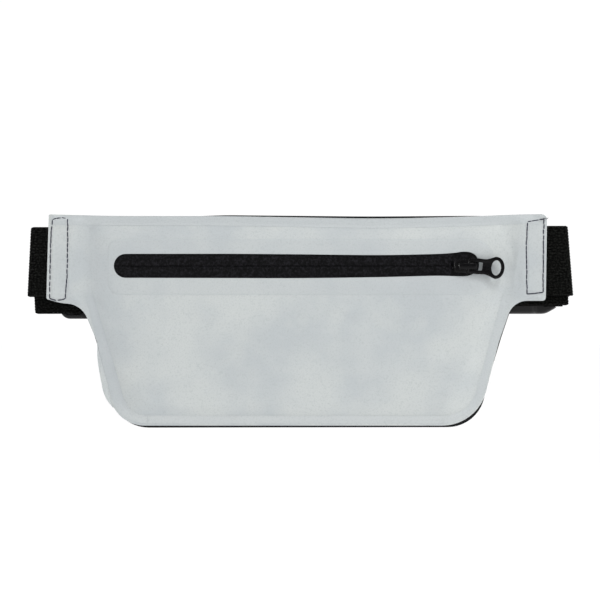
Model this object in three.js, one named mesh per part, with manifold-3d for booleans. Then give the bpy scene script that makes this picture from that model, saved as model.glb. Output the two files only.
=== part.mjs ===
// A slim waist bag with a welded front pocket, a concealed-coil zip and an elastic belt.
// The belt is folded flat behind the bag, its side-release buckle clipped and its slider pushed to one end.
//
// Frame, in millimetres: +X to the right as seen from the front, +Y from the front towards the wearer,
// +Z up. The origin is on the rear face of the back panel, at the middle of the bag.

import * as THREE from "three";
import { mergeVertices } from "three/addons/utils/BufferGeometryUtils.js";
import Module from "manifold-3d";

const wasm = await Module();
wasm.setup();

// ---------------------------------------------------------------- driving dimensions

const GAP = 0.3; // between pieces that touch in the real bag

const bag = {
  halfWidth: 143,
  top: 60.2,
  topSag: 1.6, // how far the top edge dips in the middle
  bottom: -60.2,
  tabBottom: 12, // lower edge of the side tabs
  shoulder: 124.2, // where the tab's lower edge would meet the side
  footHalf: 102.2, // where the sides would meet the bottom edge
};
const panel = { front: 0.6, back: 1.4, backProud: 0.9 };
const seam = { depth: 2.3, flange: 5.8, plateau: 11.2, bandWidth: 4.8, film: 0.3 };
const pouch = { end: 120, zipDepth: 8, belly: 3 };
const tab = { lift: 1.8, from: 124.6, over: 4.2 };

const zip = {
  z: 31,
  windowLeft: -106.1,
  windowRight: 103.9,
  windowHalf: 6.9,
  tapeLeft: -110.5,
  tapeRight: 108,
  tapeHalf: 16,
  tapeThick: 0.6,
  coilThick: 1.8,
  coilWidth: 2.8,
  coilLeft: -101.2,
  coilRight: 104.9,
  parted: 1.9, // half the gap that the slider holds open
  sliderAt: 96.2,
};
const slider = { length: 12.6, wing: 1.3, wingTop: -8.3, bottomWing: 1 };
const crown = { half: 1.65, inner: -10.9, outer: -12, legs: 1.2, from: -4.4, to: 6.2 };
const pull = { barAt: 98, y: -9.6, thick: 1.4, length: 21.5, droop: 4 };

const webbing = { width: 40.2, thick: 1.4, sewnEnd: 131.5, seamAt: -146 };
const fold = { left: -155.2, innerRight: 155.2, innerLeft: -153.1, outerRight: 157.5 };
const lean = { left: 0.05, innerRight: -0.08, innerLeft: -0.05, outerRight: -0.08 }; // X gained per mm up
const layer = { stub: -2.5, first: 1.3, second: 3.3, third: 5.3 };
const level = { tabs: 33.6, innerRight: 28.5, innerLeft: 23.7, buckle: 28.1 }; // webbing centre heights

const buckle = {
  half: 24.25,
  y: 9.5,
  thick: 9.8,
  barThick: 4,
  slotHalf: 20.5,
  cavityHalf: 3.2,
  femaleLeft: 108,
  femaleRight: 148.8, // outer side of the bar
  earFrom: 143.6, // the frame runs on past the bar in an ear above and below the webbing
  earTo: 150.6,
  maleLeft: 77.2,
};
const prong = { rootX: 108.2, rootZ: 15.5, reach: 20, half: 2.7 };
const glide = { left: -138.3, length: 27, half: 23.25, z: 23.8, front: 8, thick: 2.6, bar: 4 };

// ---------------------------------------------------------------- outlines

// A closed outline through corners [x, z, radius], with each corner rounded by an arc.
function roundedOutline(corners, arcSteps = 6) {
  const points = [];
  corners.forEach(([x, z, radius], i) => {
    const corner = new THREE.Vector2(x, z);
    const before = corners[(i + corners.length - 1) % corners.length];
    const after = corners[(i + 1) % corners.length];
    const back = new THREE.Vector2(before[0], before[1]).sub(corner).normalize();
    const ahead = new THREE.Vector2(after[0], after[1]).sub(corner).normalize();
    const half = Math.acos(THREE.MathUtils.clamp(back.dot(ahead), -1, 1)) / 2;
    const reach = radius / Math.tan(half);
    const centre = back.clone().add(ahead).normalize().multiplyScalar(radius / Math.sin(half)).add(corner);
    const start = back.clone().multiplyScalar(reach).add(corner).sub(centre);
    const turn = start.cross(ahead.clone().multiplyScalar(reach).add(corner).sub(centre)) > 0 ? 1 : -1;
    const sweep = turn * (Math.PI - 2 * half);
    for (let step = 0; step <= arcSteps; step++) {
      const spun = start.clone().rotateAround(new THREE.Vector2(), (sweep * step) / arcSteps);
      points.push(spun.add(centre));
    }
  });
  return points;
}

function shapeOf(points, holes = []) {
  const shape = new THREE.Shape(points);
  holes.forEach((hole) => shape.holes.push(new THREE.Path(hole)));
  return shape;
}

// The bag's outline, clockwise from the top left, grown outwards by `grow`.
function bagCorners(grow = 0, sag = bag.topSag) {
  const tabs = bag.halfWidth + grow;
  const low = bag.tabBottom - grow;
  const foot = bag.bottom - grow;
  const right = [
    [tabs, bag.top + grow * 0.3, 2.5],
    [tabs, low, 2.5],
    [bag.shoulder + grow, low, 13],
    [bag.footHalf + grow * 1.3, foot, 20],
  ];
  const left = right.map(([x, z, radius]) => [-x, z, radius]).reverse();
  return [...left, [15, bag.top - sag, 3000], ...right].reverse();
}

function stadium(left, right, centreZ, half, capSteps = 10) {
  const points = [];
  for (let step = 0; step <= capSteps; step++) {
    const angle = Math.PI / 2 - (Math.PI * step) / capSteps;
    points.push(new THREE.Vector2(right - half + half * Math.cos(angle), centreZ + half * Math.sin(angle)));
  }
  for (let step = 0; step <= capSteps; step++) {
    const angle = -Math.PI / 2 - (Math.PI * step) / capSteps;
    points.push(new THREE.Vector2(left + half + half * Math.cos(angle), centreZ + half * Math.sin(angle)));
  }
  return points;
}

const rectangle = (x0, x1, z0, z1) =>
  [[x0, z0], [x1, z0], [x1, z1], [x0, z1]].map(([x, z]) => new THREE.Vector2(x, z));

// `count` points at equal steps along a polyline, its first point but not its last.
function resample(points, count) {
  const path = new THREE.CurvePath();
  points.slice(1).forEach((point, i) => path.add(new THREE.LineCurve(points[i], point)));
  return Array.from({ length: count }, (_, i) => path.getPoint(i / count));
}

// ---------------------------------------------------------------- solids

// A plate that lies in the XZ plane, from yFront (nearer the viewer) to yBack.
function plate(shape, yFront, yBack) {
  const geometry = new THREE.ExtrudeGeometry(shape, {
    depth: yBack - yFront,
    bevelEnabled: false,
    curveSegments: 10,
  });
  return geometry.rotateX(Math.PI / 2).translate(0, yBack, 0);
}

const block = (x0, x1, y0, y1, z0, z1) =>
  new THREE.BoxGeometry(x1 - x0, y1 - y0, z1 - z0).translate((x0 + x1) / 2, (y0 + y1) / 2, (z0 + z1) / 2);

// A closed mesh from corner positions and triangles, turned to face outwards.
function closedMesh(positions, triangles) {
  let volume = 0;
  const [a, b, c] = [new THREE.Vector3(), new THREE.Vector3(), new THREE.Vector3()];
  for (let i = 0; i < triangles.length; i += 3) {
    a.fromArray(positions, 3 * triangles[i]);
    b.fromArray(positions, 3 * triangles[i + 1]);
    c.fromArray(positions, 3 * triangles[i + 2]);
    volume += a.dot(b.cross(c));
  }
  const geometry = new THREE.BufferGeometry();
  geometry.setAttribute("position", new THREE.Float32BufferAttribute(positions, 3));
  geometry.setIndex(volume < 0 ? triangles.slice().reverse() : triangles);
  geometry.computeVertexNormals();
  return geometry;
}

// A strip of webbing: its edge-on route is [x, y, centre z, lean], and lean tips its width along X.
function ribbon(route, width = webbing.width, thick = webbing.thick) {
  const positions = [];
  const triangles = [];
  const sideways = (from, to) => new THREE.Vector2(from[1] - to[1], to[0] - from[0]).normalize();
  route.forEach((point, i) => {
    const before = i ? sideways(route[i - 1], point) : sideways(point, route[1]);
    const after = i < route.length - 1 ? sideways(point, route[i + 1]) : before;
    const mitre = before.clone().add(after).multiplyScalar(thick / 2 / (1 + before.dot(after)));
    const [x, y, z, lean = 0] = point;
    for (const [side, up] of [[-1, -0.5], [1, -0.5], [1, 0.5], [-1, 0.5]]) {
      positions.push(x + side * mitre.x + up * width * lean, y + side * mitre.y, z + up * width);
    }
    if (i) {
      for (let edge = 0; edge < 4; edge++) {
        const [p, q] = [4 * (i - 1) + edge, 4 * (i - 1) + ((edge + 1) % 4)];
        triangles.push(p, q, q + 4, p, q + 4, p + 4);
      }
    }
  });
  const end = 4 * (route.length - 1);
  triangles.push(0, 2, 1, 0, 3, 2, end, end + 1, end + 2, end, end + 2, end + 3);
  return closedMesh(positions, triangles);
}

// Points of a turn about (x, y), from one angle to another in degrees, at one height and lean.
function turn(x, y, radius, from, to, z, lean = 0, steps = 6) {
  return Array.from({ length: steps + 1 }, (_, i) => {
    const angle = THREE.MathUtils.degToRad(from + ((to - from) * i) / steps);
    return [x + radius * Math.cos(angle), y + radius * Math.sin(angle), z, lean];
  });
}

function solid(geometry) {
  const bare = geometry.clone();
  bare.deleteAttribute("normal");
  bare.deleteAttribute("uv");
  const merged = mergeVertices(bare, 1e-4);
  return new wasm.Manifold(
    new wasm.Mesh({
      numProp: 3,
      vertProperties: merged.attributes.position.array,
      triVerts: new Uint32Array(merged.index.array),
    }),
  );
}

function geometryOf(made) {
  const mesh = made.getMesh();
  const geometry = new THREE.BufferGeometry();
  geometry.setAttribute("position", new THREE.Float32BufferAttribute(Array.from(mesh.vertProperties), 3));
  geometry.setIndex(Array.from(mesh.triVerts));
  geometry.computeVertexNormals();
  return geometry;
}

const join = (first, ...others) =>
  geometryOf(others.reduce((sum, other) => sum.add(solid(other)), solid(first)));
const cut = (first, ...others) =>
  geometryOf(others.reduce((rest, other) => rest.subtract(solid(other)), solid(first)));

// ---------------------------------------------------------------- materials and the group

const waistBag = new THREE.Group();

const finish = (color, roughness, metalness = 0) =>
  new THREE.MeshStandardMaterial({ color, roughness, metalness });
const reflective = finish(0xc6cacb, 0.55);
const film = finish(0xb9bfc4, 0.5);
const backing = finish(0x17171a, 0.9);
const tape = finish(0x1d1c20, 0.65);
const nylon = finish(0x1b1b1d, 0.5);
const castMetal = finish(0x2b2930, 0.4, 0.7);
const elastic = finish(0x141415, 0.9);
const acetal = finish(0x151516, 0.45);
const thread = finish(0x2a2740, 0.8);

function add(name, geometry, material) {
  const mesh = new THREE.Mesh(geometry, material);
  mesh.name = name;
  waistBag.add(mesh);
  return mesh;
}

// ---------------------------------------------------------------- the pouch

const outline = roundedOutline(bagCorners(), 8);
const sideSlope = (bag.shoulder - bag.footHalf) / (bag.tabBottom - bag.bottom);
const sideLean = Math.atan(sideSlope);

function distanceInside(x, z) {
  const here = new THREE.Vector2(x, z);
  let nearest = Infinity;
  outline.forEach((from, i) => {
    const to = outline[(i + 1) % outline.length];
    const along = to.clone().sub(from);
    const share = here.clone().sub(from).dot(along) / Math.max(along.lengthSq(), 1e-9);
    const foot = along.multiplyScalar(THREE.MathUtils.clamp(share, 0, 1)).add(from);
    nearest = Math.min(nearest, foot.distanceTo(here));
  });
  return nearest;
}

// How far in from the seams a point lies: the pouch rises between seam.flange and seam.plateau.
function depthInside(x, z) {
  const fromSide = (bag.footHalf + (z - bag.bottom) * sideSlope - Math.abs(x)) * Math.cos(sideLean);
  const fromEnd = (pouch.end - Math.abs(x)) * 1.6 + seam.flange;
  return Math.min(distanceInside(x, z), fromSide, fromEnd);
}

// How far the front panel's outer face stands in front of the origin's plane.
function standOff(x, z) {
  const inside = depthInside(x, z);
  const rise = THREE.MathUtils.smoothstep(inside, seam.flange, seam.plateau);
  const onTab = THREE.MathUtils.smoothstep(Math.abs(x), tab.from, tab.from + tab.over);
  const lift = tab.lift * onTab * (1 - rise);
  const belowZip = THREE.MathUtils.smoothstep(14 - z, 0, 26) * THREE.MathUtils.smoothstep(z + 58, 0, 34);
  const across = Math.max(0, 1 - (x / 108) ** 2);
  return seam.depth + lift + rise * (pouch.zipDepth - seam.depth + pouch.belly * belowZip * across);
}

// Where the panel's rows cross a line from its edge to the window: at the tab's step and up the rise.
function ringSteps(from, to) {
  const firstWhere = (test) => {
    let [low, high] = [0, 1];
    for (let i = 0; i < 20; i++) {
      const middle = (low + high) / 2;
      const place = from.clone().lerp(to, middle);
      if (test(place.x, place.y)) high = middle;
      else low = middle;
    }
    return high;
  };
  const foot = firstWhere((x, z) => depthInside(x, z) > seam.flange);
  const crest = firstWhere((x, z) => depthInside(x, z) > seam.plateau);
  const stepFoot = Math.max(firstWhere((x) => Math.abs(x) < tab.from + tab.over), foot * 0.3);
  const stepTop = Math.max(firstWhere((x) => Math.abs(x) < tab.from), foot * 0.65);
  const climb = [0, 1 / 3, 2 / 3, 1].map((share) => foot + (crest - foot) * share);
  const rest = [1 / 3, 2 / 3, 1].map((share) => crest + (1 - crest) * share);
  return [0, stepFoot, stepTop, ...climb, ...rest];
}

// The front panel is a ring of quads from the bag's outline in to the zip window.
function frontPanel() {
  const stretch = { top: 16, side: 34, bottom: 12 };
  const corners = {
    topLeft: outline.reduce((best, p) => (p.y - p.x > best.y - best.x ? p : best)),
    topRight: outline.reduce((best, p) => (p.y + p.x > best.y + best.x ? p : best)),
    bottomRight: outline.reduce((best, p) => (p.x - 1.6 * p.y > best.x - 1.6 * best.y ? p : best)),
    bottomLeft: outline.reduce((best, p) => (-p.x - 1.6 * p.y > -best.x - 1.6 * best.y ? p : best)),
  };
  const ring = [...outline].reverse(); // clockwise from here on
  const between = (from, to) => {
    const start = ring.indexOf(from);
    const turned = [...ring.slice(start), ...ring.slice(0, start)];
    return turned.slice(0, turned.indexOf(to) + 1);
  };
  const opening = stadium(zip.windowLeft, zip.windowRight, zip.z, zip.windowHalf, 12);
  const [capEnd, half] = [12, opening.length / 2];
  const outer = [
    ...resample(between(corners.topLeft, corners.topRight), stretch.top),
    ...resample(between(corners.topRight, corners.bottomRight), stretch.side),
    ...resample(between(corners.bottomRight, corners.bottomLeft), stretch.bottom),
    ...resample(between(corners.bottomLeft, corners.topLeft), stretch.side),
  ];
  const inner = [
    ...resample([opening[opening.length - 1], opening[0]], stretch.top),
    ...resample(opening.slice(0, capEnd + 1), stretch.side),
    ...resample([opening[capEnd], opening[half]], stretch.bottom),
    ...resample(opening.slice(half), stretch.side),
  ];
  const rows = outer.map((from, i) => ringSteps(from, inner[i]));
  const around = outer.length;
  const positions = [];
  const triangles = [];
  for (const thickness of [0, panel.front]) {
    for (let row = 0; row < rows[0].length; row++) {
      outer.forEach((from, i) => {
        const place = from.clone().lerp(inner[i], rows[i][row]);
        positions.push(place.x, thickness - standOff(place.x, place.y), place.y);
      });
    }
  }
  const layerSize = rows[0].length * around;
  const quad = (a, b, c, d) => triangles.push(a, b, c, a, c, d);
  for (let i = 0; i < around; i++) {
    const next = (i + 1) % around;
    for (let row = 0; row < rows[0].length - 1; row++) {
      const [a, b] = [row * around + i, row * around + next];
      quad(a, b, b + around, a + around);
      quad(layerSize + b, layerSize + a, layerSize + a + around, layerSize + b + around);
    }
    quad(next, i, layerSize + i, layerSize + next);
    const last = (rows[0].length - 1) * around;
    quad(last + i, last + next, layerSize + last + next, layerSize + last + i);
  }
  return closedMesh(positions, triangles);
}

add("front_panel", frontPanel(), reflective);
add("back_panel", plate(shapeOf(roundedOutline(bagCorners(panel.backProud, 0))), -panel.back, 0), backing);

// Welded film strips over the seams: down each side and round the corner, along the bottom, along the top.
function strip(path, width) {
  const offset = (side) =>
    path.map((point, i) => {
      const from = path[Math.max(i - 1, 0)];
      const to = path[Math.min(i + 1, path.length - 1)];
      const along = to.clone().sub(from).normalize();
      return new THREE.Vector2(point.x - along.y * side, point.y + along.x * side);
    });
  return shapeOf([...offset(width / 2), ...offset(-width / 2).reverse()]);
}

const bandFace = -seam.depth - GAP;
const bandInset = seam.bandWidth / 2 + 0.4;
const cornerRadius = 20 - bandInset;
const bandFoot = bag.bottom + bandInset;
const bandSide = (z) => bag.footHalf + (z - bag.bottom) * sideSlope - bandInset / Math.cos(sideLean);
const cornerX = bandSide(bandFoot) - cornerRadius * Math.tan(Math.PI / 4 - sideLean / 2);

function sideBand(mirror) {
  const path = [new THREE.Vector2(bandSide(13.8), 13.8)];
  for (let step = 0; step <= 8; step++) {
    const angle = -sideLean - (step / 8) * (Math.PI / 2 - sideLean);
    const x = cornerX + cornerRadius * Math.cos(angle);
    path.push(new THREE.Vector2(x, bandFoot + cornerRadius * (1 + Math.sin(angle))));
  }
  const mirrored = path.map((p) => new THREE.Vector2(mirror * p.x, p.y));
  return plate(strip(mirrored, seam.bandWidth), bandFace - seam.film, bandFace);
}

const bottomEnd = cornerX - GAP;
add("seam_band_left", sideBand(-1), film);
add("seam_band_right", sideBand(1), film);
add(
  "seam_band_bottom",
  plate(
    shapeOf(
      rectangle(-bottomEnd, bottomEnd, bandFoot - seam.bandWidth / 2, bandFoot + seam.bandWidth / 2),
    ),
    bandFace - seam.film,
    bandFace,
  ),
  film,
);

const topEdge = strip(
  resample(outline.filter((p) => p.y > 57 && Math.abs(p.x) < 141).sort((a, b) => a.x - b.x), 20)
    .filter((p) => Math.abs(p.x) < 119)
    .map((p) => new THREE.Vector2(p.x, p.y - 2.7)),
  4.4,
);
add("top_edge_tape", plate(topEdge, bandFace - seam.film, bandFace), film);

// ---------------------------------------------------------------- the zip

const filmWindow = stadium(zip.windowLeft, zip.windowRight, zip.z, zip.windowHalf + 0.5);
const filmFront = panel.front + GAP - pouch.zipDepth;
const bondFilm = roundedOutline(
  [[-111, 47.2, 9], [113, 47.2, 12], [113, 14.7, 12], [-111, 14.7, 9]].reverse(),
);
add("zip_bond_film", plate(shapeOf(bondFilm, [filmWindow]), filmFront, filmFront + seam.film), film);

const tapeFront = filmFront + seam.film + GAP;
const tapeBack = tapeFront + zip.tapeThick;
const coilFront = tapeBack + GAP;
const coilBack = coilFront + zip.coilThick;

// One tape lies above the zip's centre line and its mirror lies below; both part round the slider's post.
function zipHalf(side) {
  const edge = (inner, outer, left, right) => {
    const parting = [
      [left, inner],
      [zip.sliderAt - 1.6, inner],
      [zip.sliderAt + 3.2, zip.parted + inner],
      [right, zip.parted + inner],
    ];
    const far = [
      [right, outer + zip.parted],
      [zip.sliderAt + 3.2, outer + zip.parted],
      [zip.sliderAt - 1.6, outer],
      [left, outer],
    ];
    return shapeOf([...parting, ...far].map(([x, z]) => new THREE.Vector2(x, zip.z + side * z)));
  };
  const word = side > 0 ? "upper" : "lower";
  const tapeOuter = zip.tapeHalf - zip.parted;
  const tapeShape = edge(0.15, tapeOuter, zip.tapeLeft, zip.tapeRight);
  add(`zip_tape_${word}`, plate(tapeShape, tapeFront, tapeBack), tape);
  const coil = plate(edge(0.2, 0.2 + zip.coilWidth, zip.coilLeft, zip.coilRight), coilFront, coilBack);
  add(`zip_coil_${word}`, coil, nylon);
  const stop = zip.z + side * (zip.parted + 1.8);
  const stopAt = zip.coilRight + GAP;
  const topStop = block(stopAt, stopAt + 2, coilFront, coilBack, stop - 1.6, stop + 1.6);
  add(`zip_top_stop_${word}`, topStop, nylon);
}
zipHalf(1);
zipHalf(-1);
const bottomStop = zip.coilLeft - GAP;
add(
  "zip_bottom_stop",
  block(bottomStop - 3, bottomStop, coilFront, coilBack + 0.2, zip.z - 3.4, zip.z + 3.4),
  nylon,
);

// The slider: a wing outside the tape and one inside, joined by the post that parts the coils.
function sliderBody() {
  const half = slider.length / 2;
  const wing = [
    [-half, 2.9], [-half + 1, 3.7], [0, 4.1], [2.6, 4.6], [4.4, 3.9], [half, 1.9],
  ];
  const around = [...wing, ...wing.map(([x, z]) => [x, -z]).reverse()];
  const shape = shapeOf(around.map(([x, z]) => new THREE.Vector2(zip.sliderAt + x, zip.z + z)));
  const post = shapeOf(
    [[2, 0], [3.6, 1.2], [5.6, 0.3], [5.6, -0.3], [3.6, -1.2]].map(
      ([x, z]) => new THREE.Vector2(zip.sliderAt + x, zip.z + z),
    ),
  );
  const inside = coilBack + GAP;
  const wingBack = slider.wingTop + slider.wing;
  const tail = zip.sliderAt - half + 0.6;
  const flange = (side) => {
    const [low, high] = [zip.z + side * 3.35, zip.z + side * 4].sort((a, b) => a - b);
    return block(tail, tail + 3.8, coilFront + 0.2, inside + 0.2, low, high);
  };
  return join(
    plate(shape, slider.wingTop, wingBack),
    plate(post, wingBack - 0.2, inside + 0.2),
    plate(shape, inside, inside + slider.bottomWing),
    flange(1),
    flange(-1),
  );
}
add("slider_body", sliderBody(), castMetal);

function sliderCrown() {
  const [from, to] = [zip.sliderAt + crown.from, zip.sliderAt + crown.to];
  const foot = slider.wingTop - GAP;
  const arch = [
    [from, foot], [from, crown.outer + 1], [from + 1.4, crown.outer], [to - 2.4, crown.outer],
    [to - 0.4, crown.outer + 1.3], [to, foot], [to - crown.legs, foot],
    [to - crown.legs - 0.3, crown.inner + 0.6], [to - 3, crown.inner], [from + 2, crown.inner],
    [from + crown.legs, crown.inner + 0.7], [from + crown.legs, foot],
  ];
  const shape = shapeOf(arch.map(([x, y]) => new THREE.Vector2(x, y)));
  return new THREE.ExtrudeGeometry(shape, { depth: 2 * crown.half, bevelEnabled: false })
    .translate(0, 0, zip.z - crown.half);
}
add("slider_crown", sliderCrown(), castMetal);
const pawlAt = zip.sliderAt + crown.from + crown.legs + GAP;
add(
  "slider_lock_pawl",
  block(pawlAt, pawlAt + 2.6, slider.wingTop - GAP - 0.5, slider.wingTop - GAP, zip.z - 1.1, zip.z + 1.1),
  castMetal,
);

// The pull hooks round the crown by its eye and ends in a ring.
function pullTab() {
  const eye = { left: -0.75, bar: 1.5, right: 9.6, half: 4.1, hole: 2.6 };
  const ring = { x: pull.length - 4.95, half: 6.4, width: 4.95, holeX: 2.75, holeZ: 4.3 };
  const outlineTop = [
    [eye.left, eye.half - 0.8], [eye.left + 0.8, eye.half], [8.5, eye.half - 0.1], [11, eye.half + 0.4],
    [13, eye.half + 1.3],
  ];
  const ringArc = [];
  for (let step = 1; step <= 13; step++) {
    const angle = Math.PI * 0.62 * (1 - step / 7);
    ringArc.push([ring.x + ring.width * Math.cos(angle), ring.half * Math.sin(angle)]);
  }
  const outlineBottom = outlineTop.map(([x, z]) => [x, -z]).reverse();
  const points = [...outlineTop, ...ringArc, ...outlineBottom];
  const holes = [
    rectangle(eye.left + eye.bar, eye.right, -eye.hole, eye.hole),
    Array.from({ length: 20 }, (_, i) => {
      const angle = (2 * Math.PI * i) / 20;
      return new THREE.Vector2(ring.x + ring.holeX * Math.cos(angle), ring.holeZ * Math.sin(angle));
    }),
  ];
  return plate(
    shapeOf(points.map(([x, z]) => new THREE.Vector2(x, z)), holes),
    -pull.thick / 2,
    pull.thick / 2,
  ).rotateY(THREE.MathUtils.degToRad(pull.droop));
}
add("pull_tab", pullTab(), castMetal).position.set(pull.barAt, pull.y, zip.z);

// ---------------------------------------------------------------- the belt

// The long strap runs right, left and right again behind the bag, in three layers.
function longStrap() {
  const tight = (layer.second - layer.first) / 2;
  const wide = (layer.first - layer.stub) / 2;
  const halfThick = webbing.thick / 2;
  const left = { x: fold.left + halfThick + wide, y: (layer.stub + layer.first) / 2 };
  const right = { x: fold.innerRight - halfThick - tight, y: (layer.first + layer.second) / 2 };
  const back = { x: fold.innerLeft + halfThick + tight, y: (layer.second + layer.third) / 2 };
  return [
    [-webbing.sewnEnd, layer.stub, level.tabs, lean.left],
    ...turn(left.x, left.y, wide, 270, 90, level.tabs, lean.left),
    ...turn(right.x, right.y, tight, -90, 90, level.innerRight, lean.innerRight),
    ...turn(back.x, back.y, tight, 270, 90, level.innerLeft, lean.innerLeft),
    [webbing.seamAt, layer.third, level.innerLeft, lean.innerLeft],
  ];
}
add("strap_long", ribbon(longStrap()), elastic);

// Its adjustable end: over the belt slider's middle bar, round the male half's bar, back to the middle bar.
function adjusterLoop() {
  const near = level.innerLeft;
  const far = level.buckle;
  const middleBar = glide.left + glide.length / 2;
  const buckleBar = buckle.maleLeft;
  const half = buckle.barThick / 2 + GAP + webbing.thick / 2 + 0.2;
  const byGlide = (points) => points.map(([x, y]) => [middleBar + x, y, near]);
  const byBuckle = (points) => points.map(([x, y]) => [buckleBar + x, buckle.y + y, far]);
  const between = (x, y) => [x, y, (near + far) / 2];
  const outer = byGlide([
    [-7.8, layer.third], [-5.7, 6.3], [-4.8, 8.2], [-4.8, 11.4], [-3.6, 13.1], [-1.8, 13.6],
    [1.8, 13.6], [3.6, 13.1], [4.9, 11.4], [4.9, 9.4], [6.1, 7.6], [8.3, 7], [18, 7],
  ]);
  const end = byBuckle([
    [-16, half - 1], [-4, half - 0.2], [3, half], [4.4, half - 0.6], [4.95, 1.2],
    [4.95, -1.2], [4.4, 0.6 - half], [3, -half], [-4, 0.1 - half], [-16, -half - 0.3],
  ]);
  const inner = byGlide([
    [18, 5.2], [6.7, 5.2], [3.7, 5.9], [1.2, 6.9], [-1.6, 6.9], [-2.7, 7.6], [-3.1, 8.6],
    [-3.1, 10.4], [-2.5, 11.3], [-1.6, 11.7], [1.6, 11.7], [2.6, 11.2], [3, 10.4], [3, 9.2],
  ]);
  const start = [webbing.seamAt + GAP, layer.third, near, lean.innerLeft];
  return [start, ...outer, between(10, 8.4), ...end, between(10, 6.1), ...inner];
}
add("strap_adjuster_loop", ribbon(adjusterLoop()), elastic);

// The short strap wraps round the others and holds the buckle's female half.
function shortStrap() {
  const outside = fold.outerRight - webbing.thick / 2;
  const tip = lean.outerRight;
  const bend = 3;
  // Down the outside: x from the fold, y, height above the buckle's level, share of the full lean
  const down = [
    [-0.1, 2.5, level.tabs - level.buckle, 1], [-0.3, 4.6, 4.9, 1],
    [-1.2, 7, 4.2, 1], [-2.8, 9.3, 2.6, 0.5],
  ];
  // Round the bar: x from its outer side, and y
  const loop = [
    [3.6, 10.6], [2.3, 11], [0.8, 12.1], [-0.5, 12.6], [-1.8, 12.7], [-4, 12.7], [-5.2, 12.1], [-5.6, 11],
    [-5.6, 8], [-5.2, 6.9], [-4, 6.3], [-1.8, 6.3], [-0.5, 6.4], [0.8, 6.9], [2.3, 8.1], [4.8, 8.6],
  ];
  return [
    [webbing.sewnEnd, layer.stub, level.tabs, tip],
    ...turn(outside - bend, layer.stub + bend, bend, -90, 0, level.tabs, tip, 4),
    ...down.map(([x, y, above, share]) => [outside + x, y, level.buckle + above, tip * share]),
    ...loop.map(([x, y]) => [buckle.femaleRight + x, y, level.buckle]),
  ];
}
add("strap_short", ribbon(shortStrap()), elastic);
add(
  "strap_bar_tack",
  block(buckle.femaleRight + 3.2, buckle.femaleRight + 4.8, 11.6, 12, level.buckle - 16, level.buckle + 16),
  thread,
);

// The box stitches that hold each strap's sewn end in its tab.
function boxStitch(x0, x1, z0, z1) {
  const width = 0.5;
  const outside = shapeOf(rectangle(x0, x1, z0, z1), [
    rectangle(x0 + width, x1 - width, z0 + width, z1 - width),
  ]);
  const face = -seam.depth - tab.lift - GAP;
  return plate(outside, face - 0.3, face);
}
add("box_stitch_left", boxStitch(-142, -133.4, 12.6, 58), thread);
add("box_stitch_right", boxStitch(132, 141.4, 15.2, 57.4), thread);

// ---------------------------------------------------------------- the side-release buckle

// A closed outline through the given corners of its upper half and their mirror images below.
const mirroredOutline = (upper) =>
  roundedOutline([...upper, ...upper.map(([x, z, radius]) => [x, -z, radius]).reverse()].reverse());
const rounded = (x0, x1, half, leftRadius, rightRadius) =>
  mirroredOutline([[x0, half, leftRadius], [x1, half, rightRadius]]);
const buckleFront = buckle.y - buckle.thick / 2;
const buckleBack = buckle.y + buckle.thick / 2;
const barFront = buckle.y - buckle.barThick / 2;
const barBack = buckle.y + buckle.barThick / 2;

function buckleFemale() {
  const { femaleLeft: left, femaleRight: right, earFrom, earTo, half, slotHalf, cavityHalf, y } = buckle;
  const neck = right - 10.8;
  const frame = mirroredOutline([
    [left, half, 3], [earFrom, half, 10], [earTo, slotHalf, 1], [right, slotHalf, 0.4],
  ]);
  return cut(
    plate(shapeOf(frame), buckleFront, buckleBack),
    block(neck, earTo + 1, buckleFront - 1, barFront, -half - 1, half + 1),
    block(neck, earTo + 1, barBack, buckleBack + 1, -half - 1, half + 1),
    block(left - 1, neck - 1.5, y - cavityHalf, y + cavityHalf, -slotHalf, slotHalf),
    block(left + 4, left + 20.6, y - cavityHalf, y + cavityHalf, -half - 1, half + 1),
    block(right - 9.3, right - 4.3, buckleFront - 1, buckleBack + 1, -slotHalf, slotHalf),
  );
}
add("buckle_female", buckleFemale(), acetal).position.z = level.buckle;

function buckleMale() {
  const { femaleLeft, maleLeft: left, half, slotHalf, y } = buckle;
  const right = femaleLeft - GAP;
  const neck = left + 9;
  return join(
    cut(
      plate(shapeOf(rounded(left, right, half, 8, 3)), buckleFront, buckleBack),
      block(left - 1, neck, buckleFront - 1, barFront, -half - 1, half + 1),
      block(left - 1, neck, barBack, buckleBack + 1, -half - 1, half + 1),
      block(left + 3.8, left + 8, buckleFront - 1, buckleBack + 1, -slotHalf, slotHalf),
    ),
    block(right - 1, right + 24, y - 2.4, y + 2.4, -4.5, 4.5),
  );
}
add("buckle_male", buckleMale(), acetal).position.z = level.buckle;

// Each prong is a springy arm whose button fills the female half's side window.
function buckleProng(side) {
  const arm = [
    [0, -2.4], [prong.reach + 0.6, -1.6], [prong.reach + 0.6, 3.6], [prong.reach - 1.4, 8.2],
    [prong.reach - 14, 8.2], [prong.reach - 15, 2.2], [0, 2.4],
  ];
  const shape = shapeOf(arm.map(([x, z]) => new THREE.Vector2(prong.rootX + x, side * (prong.rootZ + z))));
  return plate(shape, buckle.y - prong.half, buckle.y + prong.half);
}
add("buckle_prong_upper", buckleProng(1), acetal).position.z = level.buckle;
add("buckle_prong_lower", buckleProng(-1), acetal).position.z = level.buckle;

// The belt slider: a frame with a middle bar and a slot on each side of it.
function beltSlider() {
  const { left, length, half, front, thick, bar } = glide;
  const right = left + length;
  const middle = (left + right) / 2;
  return cut(
    plate(shapeOf(rounded(left, right, half, 6, 6)), front, front + thick),
    block(left + bar, middle - bar / 2, front - 1, front + thick + 1, -buckle.slotHalf, buckle.slotHalf),
    block(middle + bar / 2, right - bar, front - 1, front + thick + 1, -buckle.slotHalf, buckle.slotHalf),
  );
}
add("belt_slider", beltSlider(), acetal).position.z = glide.z;

export default waistBag;
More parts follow.
